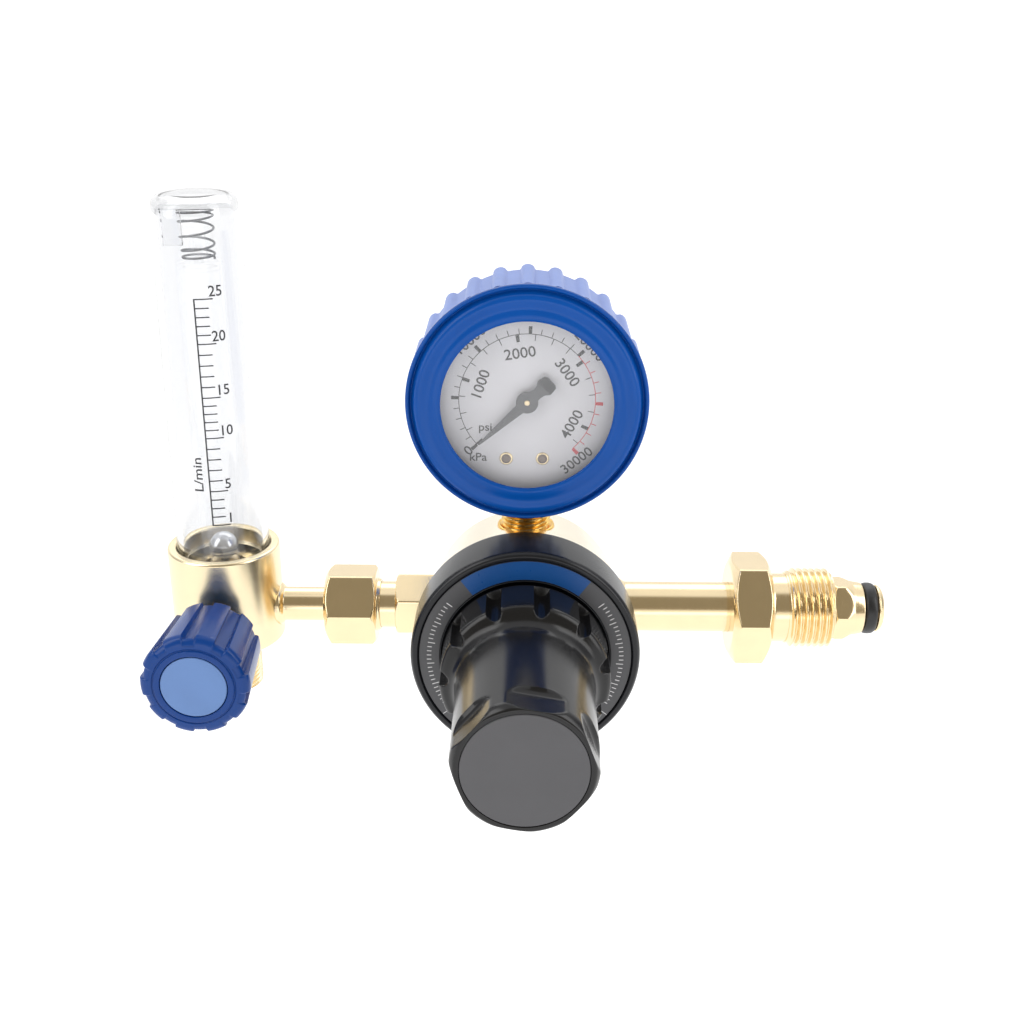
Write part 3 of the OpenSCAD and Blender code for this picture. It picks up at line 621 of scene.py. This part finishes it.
def outlet():
    body_face = -25.4
    low = reach("outlet_adaptor", X, LOW) - CENTRE_X
    turned("adaptor_hex", PIPE, [
        (low + 2, 0), (low + 2, 6.7), (-37.2, 6.7, 0.2), (-37.2, 8.5, 0.3), (-36.2, 9.8, 0.3),
        (body_face - 1, 9.8, 0.3), (body_face, 8.6, 0.3), (body_face + 1.2, 8.6),
        (body_face + 1.2, 0)],
        M["pipe"], "regulator", ["outlet_adaptor"], outline=flats(17, 60),
        step=0.35, segments=288)
    start = reach("union_nut", X, LOW) - CENTRE_X
    end = reach("union_nut", X, HIGH) - CENTRE_X
    turned("union_nut_hex", PIPE, [
        (start, 4.96), (start, 9.0, 0.4), (start + 1.7, 11.85, 0.3), (end - 2.2, 11.85, 0.3),
        (end - 1.2, 10.4, 0.3), (end - 1.2, 7.9, 0.2), (end - 0.9, 7.6, 0.2), (end, 7.4, 0.2),
        (end, 6.8), (start + 6, 6.8), (start + 6, 4.96)],
        M["pipe"], "union_nut", ["union_nut"], outline=flats(20.5, 36),
        step=0.35, segments=360, closed=True)
    joint_x = FLOW_X - CENTRE_X + 15.75
    turned("flow_stem_pipe", PIPE, [
        (joint_x - 2, 0), (joint_x - 2, 6.3), (joint_x - 0.1, 6.2, 0.3), (joint_x + 0.5, 5.6, 0.3),
        (joint_x + 1.0, 4.9, 0.3), (start + 5, 4.9), (start + 5, 0)],
        M["pipe"], "flowmeter", ["flow_stem"])


def flowmeter_body():
    low = reach("flowmeter_body", Z, LOW)
    rim = reach("flowmeter_body", Z, HIGH)
    turned("flow_block", FLOW, [
        (low, 0), (low, 14.9, 0.5), (low + 0.9, 15.75, 0.4), (rim - 0.5, 15.75, 0.3),
        (rim, 15.3, 0.25), (rim, 13.5, 0.2), (rim - 0.4, 13.15, 0.2), (12.7, 13.15),
        (12.7, 6.2), (9.0, 6.2), (9.0, 0)],
        M["flow"], "flowmeter", ["flowmeter_body"], segments=160)
    end = reach("outlet_fitting", Z, LOW)
    turned("outlet_hex", FLOW, [
        (low + 0.3, 0), (low + 0.3, 9.6), (low - 3.2, 9.6, 0.3), (low - 4, 8.3, 0.2),
        (low - 4, 7.4), (low - 4.4, 7.4), (low - 4.4, 0)],
        M["flow"], "flowmeter", ["outlet_fitting"], outline=flats(17, 45),
        step=0.35, segments=288)
    turned("outlet_thread", FLOW, [
        (low - 3.9, 3.2), (low - 3.9, 8.33), (end + 0.9, 8.33), (end, 7.7), (end, 3.2)],
        M["flow"], "flowmeter",
        outline=thread_or_bore(thread(FLOW, 1.337, 0.85, end - 0.5, low - 4), 5),
        step=0.11, segments=144, closed=True)


COVER_LOW_R, COVER_TOP_R = 12.95, 11.55


def flow_tube():
    top = reach("tube_cover", Z, HIGH)
    low = reach("tube_cover", Z, LOW)
    rim = reach("flowmeter_body", Z, HIGH)
    turned("cover_outer", FLOW, [
        (low, 11.3), (low, 13.05), (rim - 0.5, 13.05, 0.3), (rim + 1, COVER_LOW_R, 0.6),
        (top - 4, COVER_TOP_R, 1.5), (top - 0.9, 10.9, 1.8), (top, 8.6, 1.8), (top, 0),
        (top - 1.5, 0), (top - 1.5, 7.8, 1.4), (top - 2.3, 9.3, 1.2), (top - 4.6, 9.9, 1.0),
        (low + 4, 11.25), (low, 11.3)],
        M["clear"], "flowmeter", ["tube_cover"], segments=128)
    tube_low, tube_top = reach("metering_tube", Z, LOW), reach("metering_tube", Z, HIGH)
    turned("metering_glass", FLOW, [
        (tube_low, 4.3), (tube_low, 6.0), (tube_top - 0.4, 6.0, 0.3), (tube_top, 5.7, 0.2),
        (tube_top, 5.2)],
        M["inner_clear"], "flowmeter", ["metering_tube"], closed=True)
    turned("guide_plug", FLOW, [
        (tube_top + 1.05, 1.3), (tube_top + 1.1, 6.0, 0.3), (tube_top + 2.2, 6.0, 0.3),
        (tube_top + 2.3, 2.4, 0.3), (tube_top + 8.8, 2.2, 0.4), (tube_top + 9, 1.3)],
        M["inner_clear"], "flowmeter", ["spring_guide"], closed=True)
    bm = bmesh.new()
    low, high = reach("tube_spring", Z, LOW) + 0.4, reach("tube_spring", Z, HIGH) - 1.6

    def path(t):
        """Close turns at both ends and open ones between."""
        along = low + (high - low) * (t - 0.12 * math.sin(2 * math.pi * t))
        return along, 4.1 + 0.5 * t, 360 * 5.5 * t

    add_coil(bm, FLOW, path, 0.62, 240)
    finish_piece("top_spring", bm, M["spring"], "flowmeter", ["tube_spring"])
    bm = bmesh.new()
    lug = [(-6.9, -6.6), (-2.3, -6.6), (-2.3, -5.6), (-6.9, -5.6)]

    def lug_at(height):
        return lambda c: Vector((FLOW_X + c[0], c[1], height)) * MM

    add_bar(bm, lug, lug_at(top - 12.4), lug_at(top - 3.0))
    finish_piece("cover_lug", bm, M["clear"], "flowmeter")
    ball = middle("float_ball").z
    stations = [(ball - 4.1 * math.cos(math.pi * k / 24), 4.1 * math.sin(math.pi * k / 24))
                for k in range(25)]
    bm = bmesh.new()
    add_rings(bm, FLOW, stations, segments=48)
    finish_piece("float_sphere", bm, M["ball"], "float", ["float_ball"])


# ---- print: numbers and ticks ----

def text_mesh(words, height):
    """Flat letters as a mesh in mm, with the middle of the words at the origin."""
    curve = bpy.data.curves.new("letters", "FONT")
    curve.body = words
    curve.size = height * 1.37
    curve.align_x = "CENTER"
    curve.extrude = 0.02
    curve.offset = height * 0.012
    curve.resolution_u = 4
    holder = bpy.data.objects.new("letters", curve)
    bpy.context.scene.collection.objects.link(holder)
    bpy.context.view_layer.update()
    mesh = bpy.data.meshes.new_from_object(holder.evaluated_get(
        bpy.context.evaluated_depsgraph_get()))
    bpy.data.objects.remove(holder)
    bpy.data.curves.remove(curve)
    low = min(v.co.y for v in mesh.vertices)
    high = max(v.co.y for v in mesh.vertices)
    for v in mesh.vertices:
        v.co.y -= (low + high) / 2
    return mesh


def add_words(bm, words, height, place, squeeze=1.05):
    """Puts words into a bmesh; place turns a letter's (x, y, z) in mm into a point in metres."""
    mesh = text_mesh(words, height)
    part = bmesh.new()
    part.from_mesh(mesh)
    bpy.data.meshes.remove(mesh)
    for v in part.verts:
        v.co = place(v.co.x * squeeze, v.co.y, v.co.z)
    done = bpy.data.meshes.new("words")
    part.to_mesh(done)
    part.free()
    bm.from_mesh(done)
    bpy.data.meshes.remove(done)


DIAL_ROLL = 2.2
DIAL_ARC = 17.8
DIAL_FROM, DIAL_TO = 225, -45
KPA_FULL, PSI_PER_KPA = 30000, 0.1450377


def dial_angle(kpa):
    return DIAL_FROM + (DIAL_TO - DIAL_FROM) * kpa / KPA_FULL - DIAL_ROLL


def dial():
    face = reach("dial_plate", Y, LOW)
    ink = face - 0.03
    turned("dial_face", GAUGE, [
        (face + 0.5, 1.5), (face, 1.5), (face, 25.9, 0.1), (face + 0.5, 25.9)],
        M["dial"], "regulator", ["dial_plate"], closed=True)

    def tick(bm, angle, r_in, r_out, width):
        half = math.degrees(width / 2 / r_in)
        add_arc_band(bm, GAUGE, ink, 0.04, r_in, r_out, angle - half, angle + half, 1)

    black, red = bmesh.new(), bmesh.new()
    for kpa in range(0, KPA_FULL + 1, 1000):
        bm = black if kpa <= 20000 else red
        bold = kpa % 5000 == 0
        tick(bm, dial_angle(kpa), DIAL_ARC + 0.1, DIAL_ARC + (2.0 if bold else 1.5),
             0.85 if bold else 0.2)
    add_arc_band(black, GAUGE, ink, 0.04, DIAL_ARC - 0.09, DIAL_ARC + 0.09,
                 dial_angle(0), dial_angle(20000), 96)
    add_arc_band(red, GAUGE, ink, 0.04, DIAL_ARC - 0.09, DIAL_ARC + 0.09,
                 dial_angle(20000), dial_angle(KPA_FULL), 64)
    for psi in range(0, 4251, 250):
        bold = psi % 1000 == 0
        tick(black, dial_angle(psi / PSI_PER_KPA), DIAL_ARC - (2.0 if bold else 1.7),
             DIAL_ARC - 0.1, 0.85 if bold else 0.2)

    def words(text, height, radius, angle, tilt):
        """Words about a point of the dial, their baseline tilted from level."""
        centre = Vector((math.cos(math.radians(angle)), math.sin(math.radians(angle)))) * radius
        turn = Matrix.Rotation(math.radians(tilt), 2)

        def place(x, y, z):
            p = centre + turn @ Vector((x, y))
            return GAUGE.at(ink + z, 0, 0) + Vector((p.x, 0, p.y)) * MM
        add_words(black, text, height, place)

    for psi in (1000, 2000, 3000):
        angle = dial_angle(psi / PSI_PER_KPA)
        words(str(psi), 2.9, 12.9, angle, angle - 90)
    angle = dial_angle(4000 / PSI_PER_KPA) - 3
    words("4000", 2.9, 13.3, angle, angle + 90)
    for kpa in (10000, 20000):
        angle = dial_angle(kpa)
        words(str(kpa), 2.7, 21.8, angle, angle - 90)
    words("0", 2.7, 20.7, dial_angle(0) - 1, dial_angle(0) - 180)
    words("30000", 2.7, 21.0, dial_angle(KPA_FULL) - 4, dial_angle(KPA_FULL) + 86)
    words("psi", 2.3, 13.3, 215, 0)
    words("kPa", 2.3, 20.2, 230.5, 0)
    finish_piece("dial_print", black, M["ink"], "regulator")
    finish_piece("dial_print_red", red, M["red_ink"], "regulator")


def dial_screws():
    face = reach("dial_screws", Y, LOW)
    plate = reach("dial_plate", Y, LOW)
    heads, rims = bmesh.new(), bmesh.new()
    low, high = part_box("dial_screws")
    screw_r = 1.3
    for x in (low.x / MM + screw_r, high.x / MM - screw_r):
        z = (low.z + high.z) / 2 / MM
        axis = Axis(x, 0, z, AHEAD, RIGHT, UP)
        add_rings(heads, axis, rounded([
            (plate, 0), (plate, 1.15), (face + 0.15, 1.15, 0.15), (face, 0.85, 0.2), (face, 0)]),
            segments=40)
        add_rings(rims, axis, rounded([
            (plate, 1.2), (plate - 0.3, 1.25, 0.08), (plate - 0.3, 1.6, 0.12), (plate, 1.8)]),
            segments=40, closed=True)
    finish_piece("dial_screw_heads", heads, M["screw"], "regulator", ["dial_screws"])
    finish_piece("dial_screw_rims", rims, M["needle"], "regulator")


def pointer():
    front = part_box("pointer")[LOW].y / MM
    rest, hub_r = 222.5, 2.9

    def hub_arc(start, end):
        """Points round the hub, from one angle down to another."""
        return [(hub_r * math.cos(math.radians(a)), hub_r * math.sin(math.radians(a)))
                for a in range(start, end, -10)]

    shape = [(2.5, 1.35), (17.1, 0.22), (17.1, -0.22), (2.5, -1.35)]
    shape += hub_arc(-32, -150)
    shape += [(-3.6, -1.4), (-4.8, -1.65), (-5.9, -2.5), (-8.1, -2.15), (-8.55, -1.4),
              (-8.55, 1.4), (-8.1, 2.15), (-5.9, 2.5), (-4.8, 1.65), (-3.6, 1.4)]
    shape += hub_arc(150, 32)
    turn = Matrix.Rotation(math.radians(rest), 2)

    def place(corner, along):
        p = turn @ Vector(corner)
        return GAUGE.at(along, 0, 0) + Vector((p.x, 0, p.y)) * MM

    bm = bmesh.new()
    add_bar(bm, shape, lambda c: place(c, front), lambda c: place(c, front + 0.5))
    bmesh.ops.recalc_face_normals(bm, faces=bm.faces)
    rim = [edge for edge in bm.edges if edge.calc_face_angle(0) > 1.2]
    bmesh.ops.bevel(bm, geom=rim, offset=0.1 * MM, segments=2, affect="EDGES")
    add_rings(bm, GAUGE, [(front + 0.4, 0.62), (front + 0.4, 1.4), (front + 2, 1.4),
                          (front + 2, 0.62)], segments=32, closed=True)
    finish_piece("pointer_blade", bm, M["pointer"], "gauge_pointer", ["pointer"])
    tip = [(-5.9, -2.3), (-8.0, -2.0), (-8.4, -1.35), (-8.4, 1.35), (-8.0, 2.0), (-5.9, 2.3)]
    bm = bmesh.new()
    add_bar(bm, tip, lambda c: place(c, front - 0.02), lambda c: place(c, front + 0.2))
    bmesh.ops.recalc_face_normals(bm, faces=bm.faces)
    finish_piece("pointer_tail_paint", bm, M["ink"], "gauge_pointer")
    turned("pointer_pin", GAUGE, [
        (front + 0.3, 0), (front + 0.3, 0.75), (front - 0.3, 0.7, 0.15), (front - 0.35, 0)],
        M["works"], "gauge_pointer", segments=32)


# ---- gauge shell ----

def boot():
    rear = reach("gauge_boot", Y, HIGH)
    front = reach("gauge_boot", Y, LOW)
    ribs, shell_r, rib_r, bore_r = 25, 29.8, 31.3, 27.1
    rib_half = 1.9

    def outline(angle, along, radius):
        """Half-round ribs on the outside of the sleeve, fading at its rear edge."""
        if radius < shell_r - 1.5:
            return radius
        off = (angle - 90 + 180 / ribs) % (360 / ribs) - 180 / ribs
        across = shell_r * math.sin(math.radians(off)) / rib_half
        height = math.sqrt(max(0, 1 - across * across)) * (rib_r - shell_r)
        fade = min(1, max(0, (rear - 0.1 - along) / 1.3)) ** 0.5
        return max(radius, min(radius, shell_r) + height * fade)

    join = front + 4.9
    turned("boot_front_ring", GAUGE, [
        (join, bore_r), (join, shell_r), (front + 4.6, 30.2, 0.3), (front + 4.0, 30.9, 0.8),
        (front + 3.2, 31.5, 0.4), (front + 2.1, 31.5, 0.4), (front + 1.6, 31.1, 0.3),
        (front + 1.8, 30.5, 0.3), (front + 2.9, 30.1, 0.3), (front + 2.4, 29.6, 0.3),
        (front + 0.7, 29.1, 0.5), (front + 0.1, 28.0, 0.9), (front + 0.6, 25.6, 1.0),
        (front + 0.1, 24.3, 0.5), (front, 23.1, 0.4), (front + 0.3, 22.4, 0.2),
        (front + 0.9, 22.3), (front + 0.9, bore_r)],
        M["boot"], "regulator", ["gauge_boot"], segments=256, closed=True, sharp=60)
    # the ribbed sleeve takes the paler copy of the boot rubber: painted light on its ribs
    shell = turned("boot_ribbed_shell", GAUGE, [
        (rear, 18), (rear, shell_r - 0.9, 0.7), (rear - 1, shell_r, 0.7), (join, shell_r),
        (join, bore_r), (rear - 1.4, bore_r), (rear - 1.4, 18)],
        M["boot_rear"], "regulator", ["gauge_boot"], outline=outline, step=0.5,
        segments=600, closed=True, sharp=60)
    cut_away(shell, STEM, 20, 50, 8)


def cut_away(piece, axis, start, end, radius):
    """Cuts a round hole through a piece, along an axis from start to end."""
    bm = bmesh.new()
    add_rings(bm, axis, [(start, 0), (start, radius), (end, radius), (end, 0)], segments=48)
    bmesh.ops.recalc_face_normals(bm, faces=bm.faces)
    mesh = bpy.data.meshes.new("cutter")
    bm.to_mesh(mesh)
    bm.free()
    cutter = bpy.data.objects.new("cutter", mesh)
    bpy.context.scene.collection.objects.link(cutter)
    cut = piece.modifiers.new("cut", "BOOLEAN")
    cut.operation = "DIFFERENCE"
    cut.object = cutter
    cut.solver = "EXACT"
    bpy.context.view_layer.update()
    result = bpy.data.meshes.new_from_object(piece.evaluated_get(
        bpy.context.evaluated_depsgraph_get()))
    piece.modifiers.clear()
    piece.data = result
    bpy.data.objects.remove(cutter)
    bpy.data.meshes.remove(mesh)


def gauge_shell():
    ring = reach("lens_ring", Y, LOW)
    turned("lens_bezel", GAUGE, [
        (ring + 0.7, 24.2), (ring + 0.1, 24.2, 0.2), (ring, 24.6, 0.2), (ring, 26.8, 0.3),
        (ring + 0.3, 27.0, 0.2), (ring + 1.9, 27.0), (ring + 1.9, 26.3), (ring + 0.7, 26.3)],
        M["steel"], "regulator", ["lens_ring"], closed=True)
    low, high = reach("gauge_lens", Y, LOW), reach("gauge_lens", Y, HIGH)
    turned("lens_disc", GAUGE, [
        (high, 0), (high, 25.9, 0.2), (low, 25.9, 0.2), (low, 0)],
        M["lens"], "regulator", ["gauge_lens"])
    dial_face = reach("dial_plate", Y, LOW)
    turned("dial_surround", GAUGE, [
        (dial_face - 0.02, 25.9), (high + 0.4, 25.9), (high + 0.4, 25.2), (dial_face - 0.02, 24.9)],
        M["rubber"], "regulator", closed=True)
    stem_low, stem_top = 25.6, 38
    turned("gauge_stem_thread", STEM, [
        (stem_low, 0), (stem_low, 6.85), (stem_top - 1.2, 6.85), (stem_top - 0.6, 6.3, 0.2),
        (stem_top + 4, 6.3), (stem_top + 4, 0)],
        M["stem"], "regulator", ["gauge_socket"],
        outline=thread(STEM, 1.411, 0.85, stem_low - 1.5, stem_top), step=0.12, segments=144)


# ---- needle valve and flow knob ----

LOBES, LOBE_TURN = 10, 110
GROOVE_HALF_ANGLE, GROOVE_WALL_ANGLE = 8.2, 1.5


def flow_knob():
    front = reach("flow_knob", Y, LOW)
    rear = reach("flow_knob", Y, HIGH)

    def outline(angle, along, radius):
        """Grooves between the lobes, deepest just behind the front rim."""
        if radius < 11.2 or along < front + 0.4:
            return radius
        off = (angle - LOBE_TURN + 180 / LOBES) % (360 / LOBES) - 180 / LOBES
        off = 180 / LOBES - abs(off)
        t = (along - front) / (rear - front)
        deep = min(1, max(0, (along - front - 1.8) / 1.2))
        depth = (0.7 + 1.25 * math.sqrt(deep)) * (1 - 0.55 * t)
        wall = min(max((GROOVE_HALF_ANGLE - off) / GROOVE_WALL_ANGLE, 0), 1)
        wall = wall * wall * (3 - 2 * wall)
        return radius - depth * wall

    turned("flow_knob_shell", NEEDLE, [
        (front + 1.1, 8.95), (front + 0.15, 9.0, 0.15), (front + 0.05, 9.3, 0.2),
        (front + 0.05, 10.5, 0.15), (front + 0.55, 10.7, 0.1), (front + 0.55, 10.95, 0.1),
        (front + 0.3, 11.2, 0.15), (front + 0.5, 12.9, 0.6), (front + 1.1, 14.0, 0.5),
        (front + 2.2, 14.55, 0.6), (rear - 0.9, 13.0, 0.5), (rear, 12.3, 0.4),
        (rear, 8.7, 0.2), (rear - 7.5, 8.6), (rear - 7.5, 3.05), (front + 7, 3.05),
        (front + 7, 0.5), (front + 1.3, 0.5), (front + 1.3, 8.5)],
        M["flow_knob"], "flow_knob", ["flow_knob"], outline=outline, step=0.5,
        segments=528, closed=True, sharp=50)
    turned("flow_knob_face", NEEDLE, [
        (front + 1.2, 0), (front + 1.2, 8.6), (front + 0.35, 8.75, 0.1), (front + 0.12, 8.6, 0.15),
        (front + 0.08, 7.6, 0.3), (front + 0.08, 0)],
        M["disc"], "flow_knob", ["flow_knob_disc"])
    gland = reach("needle_gland", Y, LOW)
    turned("gland_hex", NEEDLE, [
        (gland, 3.06), (gland, 7.0, 0.3), (gland + 0.7, 8.05, 0.3), (gland + 3.6, 8.05),
        (gland + 3.6, 3.06)],
        M["needle"], "flowmeter", ["needle_gland"], outline=flats(14, 90),
        step=0.35, segments=192, closed=True)


FLOW_MARKS = {1: 29.8, 5: 39.7, 10: 54.8, 15: 66.0, 20: 80.5, 25: 92.3}


def mark_height(reading):
    """Height of a flow reading: the marks are even between one number and the next."""
    numbers = sorted(FLOW_MARKS)
    for low, high in zip(numbers, numbers[1:]):
        if reading <= high:
            t = (reading - low) / (high - low)
            return FLOW_MARKS[low] + (FLOW_MARKS[high] - FLOW_MARKS[low]) * t
    return FLOW_MARKS[numbers[-1]]


def tube_scale():
    """The scale is printed on the outside of the clear cover."""
    rim = reach("flowmeter_body", Z, HIGH)
    top = reach("tube_cover", Z, HIGH)
    line = -86.7

    def wrap(x, y, z):
        """Flat x, y in mm wrapped round the cover from the scale's line."""
        t = (y - rim - 1) / (top - 5 - rim - 1)
        radius = COVER_LOW_R + (COVER_TOP_R - COVER_LOW_R) * t
        return FLOW.at(y, radius + z, line + math.degrees(x / radius))

    bm = bmesh.new()

    def stroke(x0, x1, y0, y1, steps):
        edge = [x0 + (x1 - x0) * i / steps for i in range(steps + 1)]
        corners = [(x, y0) for x in edge] + [(x, y1) for x in reversed(edge)]
        add_bar(bm, corners, lambda c: wrap(*c, -0.02), lambda c: wrap(*c, 0.04))

    stroke(-0.2, 0.2, FLOW_MARKS[1] - 0.15, FLOW_MARKS[25] + 0.15, 1)
    for reading in range(1, 26):
        long = reading in FLOW_MARKS
        mid = mark_height(reading)
        stroke(0.1, 4.8 if long else 3.6, mid - 0.17, mid + 0.17, 8)
        if long:
            x = 5.6 if reading > 9 else 4.9
            add_words(bm, str(reading), 2.9,
                      lambda a, b, c, x=x, mid=mid: wrap(a + x, b + mid + 2.0, c), 0.95)
    add_words(bm, "L/min", 2.6, lambda a, b, c: wrap(-3.0 - b, a + 44.5, c), 1.25)
    finish_piece("tube_scale", bm, M["tube_ink"], "flowmeter")


# ---- set, lights and camera ----

def floor():
    mat, tree, shader = new_material("floor_white", (0.4, 0.4, 0.4), 0.0, 0.7)
    shader.inputs["Emission Color"].default_value = (1, 1, 1, 1)
    shader.inputs["Emission Strength"].default_value = 0.86
    grain = add_noise(tree, 4.0)
    add_bump(tree, shader, grain.outputs["Fac"], 0.02, 0.001)
    half, drop = 40.0, 0.25
    bm = bmesh.new()
    corners = [(-half, -half), (half, -half), (half, half), (-half, half)]
    bm.faces.new([bm.verts.new((x, y, -drop)) for x, y in corners])
    mesh = bpy.data.meshes.new("floor")
    bm.to_mesh(mesh)
    bm.free()
    mesh.materials.append(mat)
    plane = bpy.data.objects.new("floor", mesh)
    bpy.context.scene.collection.objects.link(plane)


def world():
    """White behind and overhead, greyer in front and at the sides, as a studio reflects."""
    new = bpy.data.worlds.new("studio")
    bpy.context.scene.world = new
    new.use_nodes = True
    tree = new.node_tree
    place = node(tree, "ShaderNodeTexCoord")
    split = node(tree, "ShaderNodeSeparateXYZ")
    tree.links.new(place.outputs["Generated"], split.inputs[0])

    def grey_ramp(source, stops):
        spread = node(tree, "ShaderNodeMapRange")
        spread.inputs["From Min"].default_value = -1
        ramp = node(tree, "ShaderNodeValToRGB")
        ends = ramp.color_ramp.elements
        for k, (position, grey) in enumerate(stops):
            stop = ends[k] if k < 2 else ends.new(position)
            stop.position = position
            stop.color = (*grey, 1)
        tree.links.new(source, spread.inputs["Value"])
        tree.links.new(spread.outputs["Result"], ramp.inputs["Fac"])
        return ramp

    white, warm, side = (1, 1, 1), (0.29, 0.26, 0.205), (0.42, 0.42, 0.43)
    depth = grey_ramp(split.outputs["Y"], [(0.31, warm), (0.39, white)])
    width = grey_ramp(split.outputs["X"],
                      [(0.03, side), (0.12, white), (0.88, white), (0.97, side)])
    both = node(tree, "ShaderNodeMix", data_type="RGBA", blend_type="MULTIPLY")
    both.inputs["Factor"].default_value = 1
    tree.links.new(depth.outputs["Color"], both.inputs["A"])
    tree.links.new(width.outputs["Color"], both.inputs["B"])
    tree.links.new(both.outputs["Result"], tree.nodes["Background"].inputs["Color"])
    tree.nodes["Background"].inputs["Strength"].default_value = 1.05


def softbox(name, place, size, power, aim):
    lamp = bpy.data.lights.new(name, "AREA")
    lamp.shape = "RECTANGLE"
    lamp.size, lamp.size_y = size
    lamp.energy = power
    holder = bpy.data.objects.new(name, lamp)
    holder.location = place
    holder.rotation_euler = (Vector(aim) - Vector(place)).to_track_quat("-Z", "Y").to_euler()
    holder.visible_camera = False
    bpy.context.scene.collection.objects.link(holder)


def lights():
    centre = Vector((CENTRE_X, 0, 30)) * MM
    softbox("key_left", centre + Vector((-0.55, -0.30, 0.35)), (0.35, 0.7), 2.0, centre)
    softbox("key_right", centre + Vector((0.60, -0.30, 0.30)), (0.35, 0.7), 2.0, centre)
    softbox("front_low", centre + Vector((0.0, -0.75, -0.05)), (0.8, 0.3), 0.6, centre)
    softbox("back_top", centre + Vector((0.0, 0.55, 0.60)), (1.0, 0.5), 2.0, centre)


def camera():
    """The camera stands at the level and distance that the object is usually seen from."""
    away, height, sideways = 341.8, 169.3, -0.8
    down, yaw, roll = 22.28, 0.53, 0.23
    data = bpy.data.cameras.new("camera")
    data.lens = 45.95
    data.sensor_width = 36
    data.clip_start = 0.01
    holder = bpy.data.objects.new("camera", data)
    turn = (Matrix.Rotation(math.radians(yaw), 4, "Z")
            @ Matrix.Rotation(math.radians(90 - down), 4, "X")
            @ Matrix.Rotation(math.radians(roll), 4, "Z"))
    place = Vector((CENTRE_X + sideways, -away, height)) * MM
    holder.matrix_world = Matrix.Translation(place) @ turn
    bpy.context.scene.collection.objects.link(holder)
    bpy.context.scene.camera = holder


bpy.context.scene.view_settings.view_transform = "Standard"
camera()
world()
lights()
floor()
regulator_body()
label(bonnet())
pressure_knob()
inlet()
outlet()
flowmeter_body()
flow_tube()
tube_scale()
gauge_shell()
dial()
dial_screws()
pointer()
boot()
flow_knob()
